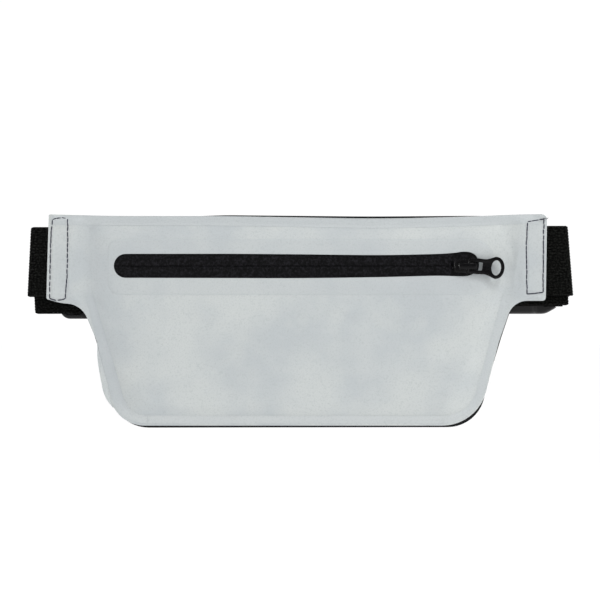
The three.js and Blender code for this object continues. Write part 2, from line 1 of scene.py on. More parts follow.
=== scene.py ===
"""Blender scene for the waist bag: the visible pieces, their materials, the camera and the light.

Lengths in this script are in millimetres until a mesh is made; meshes are in metres, in the frame of the CAD
model: +X right as seen from the front, +Y towards the wearer, +Z up, origin on the back panel's rear face.
"""

import math

import bmesh
import bpy
import numpy as np
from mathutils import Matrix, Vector


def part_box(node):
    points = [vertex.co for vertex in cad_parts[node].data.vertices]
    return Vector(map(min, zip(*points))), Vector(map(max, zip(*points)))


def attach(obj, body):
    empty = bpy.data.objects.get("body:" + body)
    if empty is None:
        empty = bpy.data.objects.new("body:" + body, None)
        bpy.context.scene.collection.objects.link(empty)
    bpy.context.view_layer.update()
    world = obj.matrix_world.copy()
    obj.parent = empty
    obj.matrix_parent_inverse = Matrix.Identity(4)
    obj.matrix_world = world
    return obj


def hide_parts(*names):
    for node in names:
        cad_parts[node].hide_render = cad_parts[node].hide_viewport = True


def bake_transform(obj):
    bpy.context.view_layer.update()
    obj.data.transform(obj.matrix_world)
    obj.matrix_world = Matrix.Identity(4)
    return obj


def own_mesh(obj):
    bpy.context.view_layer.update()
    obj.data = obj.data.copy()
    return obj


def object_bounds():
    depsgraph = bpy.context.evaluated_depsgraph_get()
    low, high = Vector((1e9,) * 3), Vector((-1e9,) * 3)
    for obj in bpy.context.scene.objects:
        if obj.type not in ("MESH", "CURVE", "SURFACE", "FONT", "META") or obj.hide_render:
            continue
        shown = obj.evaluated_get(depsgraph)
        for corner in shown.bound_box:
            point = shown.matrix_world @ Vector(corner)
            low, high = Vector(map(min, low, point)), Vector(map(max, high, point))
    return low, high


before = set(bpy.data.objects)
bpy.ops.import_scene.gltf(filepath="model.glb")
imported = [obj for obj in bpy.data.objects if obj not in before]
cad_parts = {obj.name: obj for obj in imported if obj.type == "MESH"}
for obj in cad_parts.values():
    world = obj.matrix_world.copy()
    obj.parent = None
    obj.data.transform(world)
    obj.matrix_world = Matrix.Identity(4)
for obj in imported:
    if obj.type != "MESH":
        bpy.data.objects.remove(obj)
cad_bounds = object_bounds()

MM = 0.001
WEB_WIDTH, WEB_THICK = 40.4, 1.35  # of the elastic webbing
RIBS = 24  # across the webbing, an even number
RIB_PITCH = WEB_WIDTH / RIBS


def cad_box(node):
    """A CAD node's lowest and highest corners, in millimetres."""
    low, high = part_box(node)
    return np.array(low) / MM, np.array(high) / MM


# ------------------------------------------------------------------ camera, light and floor

CAMERA_DISTANCE = 1.6  # metres, far enough for a nearly parallel view
VIEW_WIDTH = 0.345  # metres that the frame spans at the bag's front
CAMERA_CENTRE = (0.00115, 0.0115)  # where the view is centred, in metres along X and Z
BAG_FRONT = 0.008  # metres from the origin to the bag's front
TENT = 1.03  # brightness of the white surroundings
FLOOR_DROP = 0.2  # metres from the bag's lowest point down to the floor


def make_camera():
    data = bpy.data.cameras.new("camera")
    camera = bpy.data.objects.new("camera", data)
    bpy.context.collection.objects.link(camera)
    camera.location = (CAMERA_CENTRE[0], -CAMERA_DISTANCE, CAMERA_CENTRE[1])
    camera.rotation_euler = (math.pi / 2, 0, 0)
    data.sensor_width = 36
    data.lens = data.sensor_width * (CAMERA_DISTANCE - BAG_FRONT) / VIEW_WIDTH
    bpy.context.scene.camera = camera


def area_light(name, location, size, power):
    """A square light that is aimed at the origin."""
    data = bpy.data.lights.new(name, "AREA")
    data.size = size
    data.energy = power
    light = bpy.data.objects.new(name, data)
    bpy.context.collection.objects.link(light)
    light.location = location
    light.rotation_euler = (-Vector(location)).to_track_quat("-Z", "Y").to_euler()
    return light


def make_world():
    """A white light tent; glossy surfaces see it dimmer, dimmest below, so that black trim stays black."""
    world = bpy.data.worlds.new("studio")
    world.use_nodes = True
    nodes, links = world.node_tree.nodes, world.node_tree.links
    tent = nodes["Background"]
    reflected = nodes.new("ShaderNodeBackground")
    for background in (tent, reflected):
        background.inputs["Color"].default_value = (1, 1, 1, 1)
    tent.inputs["Strength"].default_value = TENT
    direction = nodes.new("ShaderNodeTexCoord")
    split = nodes.new("ShaderNodeSeparateXYZ")
    ramp = nodes.new("ShaderNodeMapRange")
    for name, number in (("From Min", -0.3), ("From Max", 0.9), ("To Min", 0.08), ("To Max", 0.8)):
        ramp.inputs[name].default_value = number
    rays = nodes.new("ShaderNodeLightPath")
    choice = nodes.new("ShaderNodeMixShader")
    links.new(direction.outputs["Generated"], split.inputs["Vector"])
    links.new(split.outputs["Z"], ramp.inputs["Value"])
    links.new(ramp.outputs["Result"], reflected.inputs["Strength"])
    links.new(rays.outputs["Is Glossy Ray"], choice.inputs["Fac"])
    links.new(tent.outputs["Background"], choice.inputs[1])
    links.new(reflected.outputs["Background"], choice.inputs[2])
    links.new(choice.outputs["Shader"], nodes["World Output"].inputs["Surface"])
    bpy.context.scene.world = world


def make_lights():
    """The back lights only show the dark rear of the bag; the glint only shows in glossy trim."""
    area_light("key", (0.5, -0.9, 1.2), 0.4, 10.0)
    area_light("fill", (1.5, -0.6, 0.1), 0.5, 1.5)
    area_light("back_key", (0.9, 1.1, 1.2), 0.5, 16.0)
    area_light("back_side", (1.3, 0.7, -0.1), 0.35, 7.0)
    glint = area_light("glint", (-1.5, -0.35, 0.15), 0.3, 16.0)
    glint.visible_diffuse = False


def make_floor(material):
    bpy.ops.mesh.primitive_plane_add(size=30, location=(0, 0, cad_bounds[0][2] - FLOOR_DROP))
    floor = bpy.context.object
    floor.name = "floor"
    floor.data.materials.append(material)


# ------------------------------------------------------------------ materials


class Shader:
    """A Principled material that is built up by short calls; sizes in its textures are in metres."""

    def __init__(self, name, color, roughness, specular=0.5):
        self.material = bpy.data.materials.new(name)
        self.material.use_nodes = True
        self.tree = self.material.node_tree
        self.bsdf = self.tree.nodes["Principled BSDF"]
        self.bsdf.inputs["Base Color"].default_value = (*color, 1)
        self.bsdf.inputs["Roughness"].default_value = roughness
        self.bsdf.inputs["Specular IOR Level"].default_value = specular
        self.place = self.tree.nodes.new("ShaderNodeTexCoord")

    def node(self, kind, **settings):
        """A new node; each setting is one of its properties or of its sockets."""
        made = self.tree.nodes.new(kind)
        for key, value in settings.items():
            if hasattr(made, key):
                setattr(made, key, value)
            else:
                made.inputs[key.replace("_", " ").title()].default_value = value
        return made

    def noise(self, size, detail, roughness=0.5, stretch=(1, 1, 1), coords="Object"):
        """Noise whose features are about size metres wide."""
        mapping = self.node("ShaderNodeMapping")
        mapping.inputs["Scale"].default_value = stretch
        self.tree.links.new(self.place.outputs[coords], mapping.inputs["Vector"])
        made = self.node("ShaderNodeTexNoise", scale=1 / size, detail=detail, roughness=roughness)
        self.tree.links.new(mapping.outputs["Vector"], made.inputs["Vector"])
        return made.outputs["Fac"]

    def wave(self, size, direction, coords="UV"):
        """Bands that repeat every size metres; they are darkest where the coordinate is 0."""
        made = self.node("ShaderNodeTexWave", bands_direction=direction, scale=math.pi / (10 * size))
        self.tree.links.new(self.place.outputs[coords], made.inputs["Vector"])
        return made.outputs["Fac"]

    def attribute(self, name):
        return self.node("ShaderNodeAttribute", attribute_name=name).outputs["Fac"]

    def edge_wear_and_highlight(self, strength):
        """High on convex edges, broken up by noise; the lighter colour it lays there is partly wear and
        partly a painted highlight on the edges.
        """
        shape = self.node("ShaderNodeNewGeometry").outputs["Pointiness"]
        edges = self.level(shape, 0.515, 0.56, 0, strength)
        return self.product(edges, self.level(self.noise(0.0016, 3), 0.35, 0.6))

    def level(self, value, low, high, out_low=0.0, out_high=1.0):
        """The value, with low to high stretched to out_low to out_high."""
        limits = {"from_min": low, "from_max": high, "to_min": out_low, "to_max": out_high}
        made = self.node("ShaderNodeMapRange", clamp=True, **limits)
        self.tree.links.new(value, made.inputs["Value"])
        return made.outputs["Result"]

    def product(self, a, b):
        made = self.node("ShaderNodeMath", operation="MULTIPLY")
        self.tree.links.new(a, made.inputs[0])
        self.tree.links.new(b, made.inputs[1])
        return made.outputs["Value"]

    def tint(self, value, color):
        """Mix color over what the base colour holds so far, by value."""
        made = self.node("ShaderNodeMix", data_type="RGBA")
        base = self.bsdf.inputs["Base Color"]
        sockets = {socket.identifier: socket for socket in [*made.inputs, *made.outputs]}
        if base.is_linked:
            self.tree.links.new(base.links[0].from_socket, sockets["A_Color"])
        else:
            sockets["A_Color"].default_value = base.default_value
        sockets["B_Color"].default_value = (*color, 1)
        self.tree.links.new(value, sockets["Factor_Float"])
        self.tree.links.new(sockets["Result_Color"], base)

    def roughen(self, value, low, high):
        """Let the roughness follow a noise, from low to high."""
        self.tree.links.new(self.level(value, 0.3, 0.7, low, high), self.bsdf.inputs["Roughness"])

    def bump(self, value, depth, strength):
        """Add a bump of this depth, in metres, under any bump that is already there."""
        made = self.node("ShaderNodeBump")
        made.inputs["Strength"].default_value = strength
        made.inputs["Distance"].default_value = depth
        self.tree.links.new(value, made.inputs["Height"])
        normal = self.bsdf.inputs["Normal"]
        if normal.is_linked:
            self.tree.links.new(normal.links[0].from_socket, made.inputs["Normal"])
        self.tree.links.new(made.outputs["Normal"], normal)


def laminate_material():
    """Reflective laminate: fine glass-bead grain over soft cloudy patches."""
    made = Shader("reflective_laminate", (0.415, 0.437, 0.434), 0.52, specular=0.3)
    made.tint(made.level(made.noise(0.044, 3), 0.40, 0.60), (0.361, 0.386, 0.397))
    made.tint(made.level(made.noise(0.017, 3), 0.5, 0.72, 0, 0.6), (0.418, 0.440, 0.433))
    made.tint(made.attribute("tone"), (0.358, 0.381, 0.392))
    grain = made.noise(0.0009, 3, 0.75)
    made.tint(made.level(grain, 0.50, 0.70, 0, 0.75), (0.308, 0.330, 0.338))
    made.roughen(grain, 0.46, 0.6)
    made.bump(grain, 0.00006, 0.5)
    made.bump(made.noise(0.009, 3), 0.0004, 0.12)
    return made.material


def film_material():
    """Welded film over the seams: the same laminate, a little darker and smoother."""
    made = Shader("seam_film", (0.408, 0.430, 0.432), 0.46, specular=0.35)
    made.tint(made.attribute("tone"), (0.350, 0.375, 0.388))
    made.tint(made.level(made.noise(0.02, 3), 0.45, 0.7, 0, 0.3), (0.408, 0.430, 0.432))
    grain = made.noise(0.0009, 3, 0.75)
    made.tint(made.level(grain, 0.50, 0.70, 0, 0.75), (0.312, 0.335, 0.345))
    made.bump(grain, 0.00005, 0.4)
    return made.material


def lining_material():
    """The laminate's dark woven back."""
    made = Shader("laminate_lining", (0.05, 0.052, 0.055), 0.85, specular=0.2)
    made.tint(made.level(made.noise(0.0008, 2), 0.4, 0.7), (0.08, 0.083, 0.088))
    return made.material


def backing_material():
    """Black back panel: plain weave with slight fading on the high threads."""
    made = Shader("woven_backing", (0.0042, 0.0042, 0.0048), 0.82, specular=0.12)
    across = made.wave(0.00045, "X", coords="Object")
    down = made.wave(0.00045, "Z", coords="Object")
    weave = made.product(across, down)
    made.tint(made.level(weave, 0.1, 0.9, 0, 0.8), (0.0145, 0.0145, 0.0160))
    made.tint(made.level(made.noise(0.03, 3), 0.45, 0.75, 0, 0.3), (0.018, 0.018, 0.020))
    made.bump(weave, 0.00018, 0.7)
    made.bump(made.noise(0.0006, 2), 0.0001, 0.3)
    return made.material


def tape_material():
    """Coated zip tape: a leathery film with a fine pebble."""
    made = Shader("coated_zip_tape", (0.0006, 0.0006, 0.0009), 0.58, specular=0.08)
    pebble = made.noise(0.0013, 3, 0.8)
    made.tint(made.level(pebble, 0.48, 0.60), (0.0098, 0.0093, 0.0115))
    made.roughen(pebble, 0.5, 0.72)
    made.bump(made.noise(0.0009, 3, 0.6), 0.00016, 0.7)
    return made.material


def nylon_material():
    made = Shader("nylon_monofilament", (0.008, 0.008, 0.009), 0.35)
    made.tint(made.level(made.noise(0.002, 2), 0.4, 0.7), (0.02, 0.02, 0.022))
    return made.material


def casting_material():
    """Charcoal lacquer on a zinc casting, with lighter edges that are partly wear and partly a painted
    highlight.
    """
    made = Shader("lacquered_casting", (0.0006, 0.0005, 0.0009), 0.30, specular=0.15)
    made.tint(made.level(made.noise(0.0035, 3), 0.5, 0.75, 0, 0.6), (0.0018, 0.0016, 0.0022))
    # Lighter convex edges: partly wear, partly a painted highlight.
    made.tint(made.edge_wear_and_highlight(0.35), (0.010, 0.009, 0.011))
    made.roughen(made.noise(0.0012, 3), 0.20, 0.32)
    made.bump(made.noise(0.0009, 2), 0.00003, 0.25)
    return made.material


def webbing_material():
    """Elastic webbing: its UVs run along it in metres, and its ribs lie lengthwise, with painted shade in the
    grooves between them.
    """
    made = Shader("elastic_webbing", (0.0008, 0.0009, 0.0007), 0.85, specular=0.03)
    picks = made.wave(0.00055, "X")
    painted_groove_shade = made.wave(RIB_PITCH * MM, "Y")
    yarn = made.noise(0.0010, 2, 0.8, coords="UV")
    made.tint(made.level(yarn, 0.50, 0.56), (0.0122, 0.0125, 0.0115))
    made.tint(made.level(picks, 0.5, 1.0, 0, 0.5), (0.0006, 0.0006, 0.0006))
    # Painted shade: darkens the grooves between the ribs.
    made.tint(made.level(painted_groove_shade, 0.15, 0.7, 0.45, 0), (0.0002, 0.0002, 0.0002))
    made.bump(picks, 0.00012, 0.6)
    return made.material


def acetal_material():
    """Moulded acetal: nearly smooth, with a fine spark texture and a soft sheen."""
    made = Shader("moulded_acetal", (0.0034, 0.0034, 0.0038), 0.38, specular=0.3)
    spark = made.noise(0.0006, 2, 0.6)
    made.tint(made.level(made.noise(0.02, 2), 0.45, 0.7, 0, 0.6), (0.0054, 0.0054, 0.0058))
    # Lighter convex edges: partly wear, partly a painted highlight.
    made.tint(made.edge_wear_and_highlight(0.7), (0.016, 0.016, 0.017))
    made.roughen(spark, 0.33, 0.5)
    made.bump(spark, 0.00004, 0.5)
    return made.material


def thread_material():
    made = Shader("navy_thread", (0.0070, 0.0065, 0.018), 0.6, specular=0.2)
    twist = made.noise(0.0005, 2, stretch=(1, 1, 2.2))
    made.tint(made.level(twist, 0.45, 0.7), (0.024, 0.022, 0.055))
    made.bump(twist, 0.0001, 0.6)
    return made.material


def paper_material():
    return Shader("white_paper", (0.98, 0.98, 0.98), 0.9, specular=0.0).material


make_camera()
bpy.context.scene.view_settings.view_transform = "Standard"
make_world()
make_lights()
make_floor(paper_material())

laminate = laminate_material()
film = film_material()
lining = lining_material()
backing = backing_material()
coated_tape = tape_material()
nylon = nylon_material()
casting = casting_material()
webbing = webbing_material()
acetal = acetal_material()
thread = thread_material()

# ------------------------------------------------------------------ meshes


def make_object(name, points, faces, material, uv=None, sharp=40, tone=None):
    """A smooth-shaded mesh object from points in millimetres.

    uv holds one (u, v) for each point, and tone how far each point's colour is turned to the darker one.
    """
    mesh = bpy.data.meshes.new(name)
    mesh.from_pydata((np.asarray(points, float) * MM).tolist(), [], faces)
    if tone is not None:
        shades = mesh.attributes.new("tone", "FLOAT", "POINT")
        shades.data.foreach_set("value", np.broadcast_to(np.asarray(tone, float), (len(points),)).copy())
    if uv is not None:
        layer = mesh.uv_layers.new(name="UVMap")
        corners = np.empty(len(mesh.loops), int)
        mesh.loops.foreach_get("vertex_index", corners)
        layer.data.foreach_set("uv", (np.asarray(uv, float)[corners] * MM).ravel())
    made = bpy.data.objects.new(name, mesh)
    bpy.context.collection.objects.link(made)
    face_outwards(mesh)
    mesh.shade_smooth()
    mesh.set_sharp_from_angle(angle=math.radians(sharp))
    mesh.materials.append(material)
    return made


def face_outwards(mesh, weld=0.0):
    work = bmesh.new()
    work.from_mesh(mesh)
    if weld:
        bmesh.ops.remove_doubles(work, verts=work.verts, dist=weld)
    bmesh.ops.recalc_face_normals(work, faces=work.faces)
    work.to_mesh(mesh)
    work.free()


def upright(ring, y):
    """Points at the (x, z) places of a ring, at depth y."""
    return np.stack([ring[:, 0], np.broadcast_to(y, (len(ring),)), ring[:, 1]], 1)



def loft(sections, closed=False):
    """Faces over sections that each hold the same number of points round a closed loop, with ends if open."""
    count = len(sections[0])
    total = len(sections)
    faces = []
    for i in range(total if closed else total - 1):
        a, b = i * count, (i + 1) % total * count
        for j in range(count):
            k = (j + 1) % count
            faces.append((a + j, a + k, b + k, b + j))
    if not closed:
        faces.append(tuple(range(count)))
        faces.append(tuple(range((total - 1) * count, total * count)))
    return np.concatenate(sections), faces


def joined(parts):
    """Several (points, faces) pairs as one pair."""
    points, faces, base = [], [], 0
    for some_points, some_faces in parts:
        points.append(np.asarray(some_points, float))
        faces += [tuple(base + i for i in face) for face in some_faces]
        base += len(some_points)
    return np.concatenate(points), faces


def arc(centre, radius, start, end, steps):
    """Points of a circular arc in a plane, with its angles in degrees."""
    angles = np.radians(np.linspace(start, end, steps + 1))
    radii = np.broadcast_to(np.asarray(radius, float), (2,))
    return np.stack([centre[0] + radii[0] * np.cos(angles), centre[1] + radii[1] * np.sin(angles)], 1)


def rounded_outline(corners, steps=10):
    """A closed outline through corners (x, z, radius), with each corner rounded."""
    points = []
    places = np.array([c[:2] for c in corners], float)
    for i, (x, z, radius) in enumerate(corners):
        corner = places[i]
        back, ahead = places[i - 1] - corner, places[(i + 1) % len(places)] - corner
        back, ahead = back / np.linalg.norm(back), ahead / np.linalg.norm(ahead)
        half = math.acos(np.clip(back @ ahead, -1, 1)) / 2
        middle = (back + ahead) / np.linalg.norm(back + ahead)
        centre = corner + middle * radius / math.sin(half)
        start = corner + back * radius / math.tan(half) - centre
        end = corner + ahead * radius / math.tan(half) - centre
        first = math.atan2(start[1], start[0])
        sweep = (math.atan2(end[1], end[0]) - first + math.pi) % (2 * math.pi) - math.pi
        for angle in np.linspace(first, first + sweep, steps + 1):
            points.append(centre + radius * np.array([math.cos(angle), math.sin(angle)]))
    return np.array(points)


def rounded_box(left, right, bottom, top, radius, steps):
    """The outline of a rectangle with rounded corners, clockwise from the top left."""
    corners = [(left, top, radius), (right, top, radius), (right, bottom, radius), (left, bottom, radius)]
    return rounded_outline(corners, steps)


def resample(points, count, closed=False):
    """count points at even steps along a line; on an open line they include both ends."""
    line = np.vstack([points, points[:1]]) if closed else np.asarray(points, float)
    steps = np.linalg.norm(np.diff(line, axis=0), axis=1)
    run = np.concatenate([[0], np.cumsum(steps)])
    at = np.linspace(0, run[-1], count + 1)[:-1] if closed else np.linspace(0, run[-1], count)
    return np.stack([np.interp(at, run, line[:, i]) for i in range(line.shape[1])], 1)


def smooth_line(points, per_step=6):
    """A Catmull-Rom curve through the points."""
    points = np.asarray(points, float)
    padded = np.vstack([2 * points[0] - points[1], points, 2 * points[-1] - points[-2]])
    t = np.linspace(0, 1, per_step, endpoint=False)[:, None]
    pieces = []
    for a, b, c, d in zip(padded, padded[1:], padded[2:], padded[3:]):
        pieces.append(
            0.5 * (2 * b + (c - a) * t + (2 * a - 5 * b + 4 * c - d) * t**2 + (3 * b - a - 3 * c + d) * t**3)
        )
    return np.vstack([*pieces, points[-1:]])


def distance_to(line, x, z, closed=True):
    """Each point's distance to a line of points."""
    nodes = np.vstack([line, line[:1]]) if closed else np.asarray(line)
    best = np.full(np.shape(x), np.inf)
    for (ax, az), (bx, bz) in zip(nodes, nodes[1:]):
        dx, dz = bx - ax, bz - az
        share = np.clip(((x - ax) * dx + (z - az) * dz) / max(dx * dx + dz * dz, 1e-12), 0, 1)
        best = np.minimum(best, np.hypot(x - ax - share * dx, z - az - share * dz))
    return best


def smoothstep(value, low, high):
    t = np.clip((value - low) / (high - low), 0, 1)
    return t * t * (3 - 2 * t)


def plate(name, outline, holes, front, back, bevel, material, bevel_steps=3):
    """A flat plate with rounded edges in the XZ plane, from y = front to y = back, with holes."""
    curve = bpy.data.curves.new(name, "CURVE")
    curve.dimensions = "2D"
    curve.fill_mode = "BOTH"
    for points in [outline, *holes]:
        spline = curve.splines.new("POLY")
        spline.points.add(len(points) - 1)
        spline.use_cyclic_u = True
        for point, (x, z) in zip(spline.points, points):
            point.co = (x, z, 0, 1)
    curve.extrude = (back - front) / 2 - bevel
    curve.bevel_depth = bevel
    curve.bevel_resolution = bevel_steps
    curve.offset = -bevel
    shape = bpy.data.objects.new(name + "_outline", curve)
    mesh = bpy.data.meshes.new_from_object(shape)
    bpy.data.objects.remove(shape)
    places = np.empty(len(mesh.vertices) * 3)
    mesh.vertices.foreach_get("co", places)
    x, z, depth = places.reshape(-1, 3).T
    faces = [tuple(polygon.vertices) for polygon in mesh.polygons]
    bpy.data.meshes.remove(mesh)
    made = make_object(name, np.stack([x, (front + back) / 2 + depth, z], 1), faces, material)
    face_outwards(made.data, weld=1e-6)
    made.data.shade_smooth()
    made.data.set_sharp_from_angle(angle=math.radians(40))
    return made


def join_objects(name, objects):
    """Several objects with one material as one object."""
    bpy.ops.object.select_all(action="DESELECT")
    for some in objects:
        some.select_set(True)
    bpy.context.view_layer.objects.active = objects[0]
    bpy.ops.object.join()
    objects[0].name = name
    return objects[0]


def settle(piece, body, slot, *nodes):
    """Attach a piece to the body it rides on and hide the CAD nodes that it stands for; slot is not used."""
    if nodes:
        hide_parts(*nodes)
    if body:
        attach(piece, body)
    return piece


# ------------------------------------------------------------------ the pouch

FRONT_CORNERS = [
    (-143.7, 60.95, 0.3),
    (-108, 60.05, 900),
    (-42, 59.95, 900),
    (50, 58.35, 1100),
    (100, 59.75, 500),
    (125, 60.85, 600),
    (143.6, 61.1, 3.2),
    (142.85, 11.05, 1.8),
    (124.2, 11.05, 11.5),
    (115.9, -12.6, 60),
    (109.25, -38.5, 60),
    (103.4, -61.0, 26),
    (-104.6, -61.0, 20.1),
    (-115.9, -12.9, 30),
    (-125.2, 9.3, 13),
    (-136, 9.5, 25),
    (-145.1, 12.1, 0.8),
]
BACK_CORNERS = [
    (-142.2, 59.4, 2),
    (-75, 59.3, 400),
    (-42, 60.52, 250),
    (40, 59.72, 1500),
    (95, 60.08, 600),
    (142.4, 60.1, 3),
    (141.8, 12.5, 2),
    (124.9, 12.2, 10),
    (117.4, -10.0, 36),
    (108.8, -38.5, 60),
    (104.3, -61.9, 21.6),
    (-103.7, -62.25, 22.3),
    (-114.0, -20, 60),
    (-124.4, 11.5, 13),
    (-142.2, 13.4, 1),
]
SEAM_DEPTH = 2.3  # the welded edge stands this far in front of the origin's plane
SHELL = 0.55  # laminate thickness
ZIP_Z = 31.0
WINDOW_LEFT, WINDOW_HALF = -106.0, 6.9
SIDE_FOOT, SIDE_SLOPE = 102.2, 0.3047  # the side seam's place at the foot, and its lean
FOOT_Z = -60.2
TAB_STRAP = {"left": (-142.6, -133.2, 12.1, 58.5), "right": (131.9, 141.2, 15.1, 57.3)}

front_outline = rounded_outline(FRONT_CORNERS)
# Soft creases in the laminate: x, z of both ends, half width, height towards the viewer
CREASES = [
    (-126.5, 52, -125, 26, 2.8, -0.14),
    (-121, 48, -120, 26, 3.0, 0.15),
    (-124, 46, -112, 58, 1.8, 0.25),
    (-119, 12, -108, 2, 2.4, -0.3),
    (122.5, 45, 128.5, 17, 2.2, -0.3),
    (126.5, 38, 124.5, 20, 1.5, 0.3),
    (116, 50, 126, 30, 2.4, 0.3),
    (108, 56, 92, 50, 1.8, -0.25),
    (119, 10, 109, 0, 2.4, -0.3),
    (-98, 8, -40, 1, 3.0, 0.35),
    (-84, 4, -30, -8, 3.0, -0.3),
    (-10, 2, 60, -4, 3.6, -0.3),
    (20, 6, 92, 0, 2.6, 0.3),
    (-80, -34, -20, -22, 5.0, 0.5),
    (-60, -44, 10, -34, 4.5, -0.4),
    (0, -16, 52, -24, 5.0, 0.4),
    (30, -40, 88, -22, 4.5, -0.45),
    (52, -46, 94, -34, 3.5, 0.4),
    (-104, -28, -84, -48, 3.0, 0.4),
    (96, -34, 82, -50, 3.0, 0.35),
    (-92, -52, -40, -55, 2.5, -0.25),
]
BOND_CORNERS = [(-109.5, 46.3, 6), (112.5, 46.3, 12), (112.5, 14.6, 14), (-109.5, 14.6, 7)]
bond_outline = rounded_outline(BOND_CORNERS, 12)


def side_seam(z):
    return SIDE_FOOT + (z - FOOT_Z) * SIDE_SLOPE


def ripple(x, z):
    """Slow unevenness of a hand-welded panel, within about 1."""
    return (
        np.sin(x / 21.0 + 0.7) * np.cos(z / 14.0 - x / 60.0)
        + 0.6 * np.sin(x / 9.5 - z / 11.0 + 1.3)
        + 0.4 * np.sin(x / 33.0 + z / 7.5 + 2.1)
    ) / 2


def front_y(x, z):
    """The front panel's outer face: how far it stands towards the viewer, as a y in millimetres."""
    lean = math.atan(SIDE_SLOPE)
    rim = distance_to(front_outline, x, z)
    side = (side_seam(z) - np.abs(x)) * math.cos(lean)
    end = 124 - np.abs(x)
    soft = 2.2  # how gently the pouch's corners are mitred
    inside = -soft * np.log(np.exp(-rim / soft) + np.exp(-side / soft) + np.exp(-end / soft))
    past_weld = np.maximum(inside - 3.6, 0)
    swell = 1 - np.exp(-(past_weld**2) / (6.0 * (past_weld + 2.5)))
    across = np.clip(1 - (x / 112) ** 2, 0, 1)
    belly = 2.0 * across * smoothstep(14 - z, 0, 30) * smoothstep(z + 60, 4, 34)
    tab_rim = rim + 3 * smoothstep(np.abs(x), 136, 142)  # the tabs stay thick up to their outer ends
    tab = smoothstep(np.abs(x), 121.5, 130.5) * smoothstep(tab_rim, 0.2, 3.4)
    depth = SEAM_DEPTH + 5.5 * swell + belly + 1.75 * tab
    depth = depth + 0.45 * ripple(x, z) * (0.2 + swell)
    depth = depth + 0.22 * smoothstep(signed_inside(bond_outline, x, z), -0.1, 0.45)
    for x0, z0, x1, z1, half, height in CREASES:
        away = distance_to([(x0, z0), (x1, z1)], x, z, closed=False)
        depth = depth + height * np.exp(-((away / half) ** 2))
    for x0, x1, z0, z1 in TAB_STRAP.values():
        box = [(x0, z0), (x1, z0), (x1, z1), (x0, z1)]
        depth = depth - 0.28 * np.exp(-((distance_to(box, x, z) / 0.8) ** 2))
    return -depth


def signed_inside(outline, x, z):
    """Distance to an outline, positive inside it."""
    nodes = np.vstack([outline, outline[:1]])
    crossings = np.zeros(np.shape(x), bool)
    for (ax, az), (bx, bz) in zip(nodes, nodes[1:]):
        if az == bz:
            continue
        spans = (az > z) != (bz > z)
        crossings ^= spans & (x < (bx - ax) * (z - az) / (bz - az) + ax)
    return np.where(crossings, 1, -1) * distance_to(outline, x, z)


def zip_window():
    """The zip's window, clockwise from the top left: round at its left end, tapered round the slider."""
    left = arc((WINDOW_LEFT + WINDOW_HALF, ZIP_Z + 0.15), WINDOW_HALF, 270, 90, 24)
    right = [(-40, 7.1), (1, 6.8), (45, 6.35), (78, 6.95), (90, 7.65), (94, 8.2), (98, 8.15), (100.9, 7.2)]
    right += [(102.8, 5.4), (103.9, 2.6), (104.1, 0), (103.4, -2.6), (101, -4.3), (98.8, -5.3), (96, -5.8)]
    right += [(90, -5.8), (78, -5.6), (45, -6.4), (1, -6.95), (-40, -6.9)]
    right = smooth_line(right, 6) + (0, ZIP_Z)
    return left, right


def split_at(outline, marks):
    """Cut a closed outline into stretches that start at the points nearest to the marks."""
    starts = [int(np.argmin(np.hypot(*(outline - mark).T))) for mark in marks]
    rolled = np.roll(outline, -starts[0], axis=0)
    cuts = [(s - starts[0]) % len(outline) for s in starts] + [len(outline)]
    closed = np.vstack([rolled, rolled[:1]])
    return [closed[a : b + 1] for a, b in zip(cuts, cuts[1:])]


SPREAD = {"top": 190, "side": 120, "bottom": 130}  # how many quads go round each stretch of the panel


def spread(stretches):
    counts = [SPREAD["top"], SPREAD["side"], SPREAD["bottom"], SPREAD["side"]]
    return np.concatenate([resample(s, n + 1)[:-1] for s, n in zip(stretches, counts)])


def front_rings():
    """Matching loops on the edge, the bond's outline and the window, each clockwise from the top left."""
    edge = spread(split_at(front_outline, [(-143, 60), (143, 60), (100, -58), (-102, -58)]))
    bond = spread(split_at(bond_outline, [(-108, 46), (110, 46), (110, 16), (-108, 16)]))
    window = np.vstack(zip_window())
    window = spread(split_at(window, [(-99, 38), (93, 39), (93, 25.5), (-99, 24.6)]))
    return edge, bond, window


def front_shell():
    edge, bond, window = front_rings()
    shares = np.concatenate([np.linspace(0, 0.985, 48) ** 1.25, [0.988, 0.994, 1]])
    rows = [edge + (bond - edge) * t for t in shares]
    rows += [bond + (window - bond) * t for t in np.concatenate([[0.02, 0.05], np.linspace(0.1, 1, 14)])]
    outer = [upright(ring, front_y(*ring.T)) for ring in rows]
    inner = [ring + (0, SHELL, 0) for ring in outer]
    rounding = 0.12
    outer[0] = outer[0] + (0, rounding, 0)
    outer[-1] = outer[-1] + (0, rounding, 0)
    points, faces = loft(outer + inner[::-1], closed=True)
    x, _, z = points.T
    bonded = smoothstep(signed_inside(bond_outline, x, z), -0.3, 0.5)
    line = np.exp(-((distance_to(bond_outline, x, z) / 0.45) ** 2))
    shade = 0.4 * bonded + 0.45 * line + 0.3 * smoothstep(x, 122, 134)
    made = make_object("front_panel_laminate", points, faces, laminate, tone=shade)
    made.data.materials.append(lining)
    around = len(edge)
    for polygon in made.data.polygons:
        row = min(polygon.vertices) // around
        if len(outer) <= row < 2 * len(outer) - 1:
            polygon.material_index = 1
    settle(made, "bag", "reflective_fabric", "front_panel")


front_shell()


BACK_THICK = 1.15


def back_y(x, z):
    """The back panel's front face, nearly flat, with a welded border and slow ripples."""
    rim = distance_to(rounded_outline(BACK_CORNERS, 6), x, z)
    weld = smoothstep(rim, 4.4, 5.2)
    return -1.3 + 0.14 * weld * (1 + 0.8 * ripple(x + 30, z - 12)) * smoothstep(rim, 0, 8)


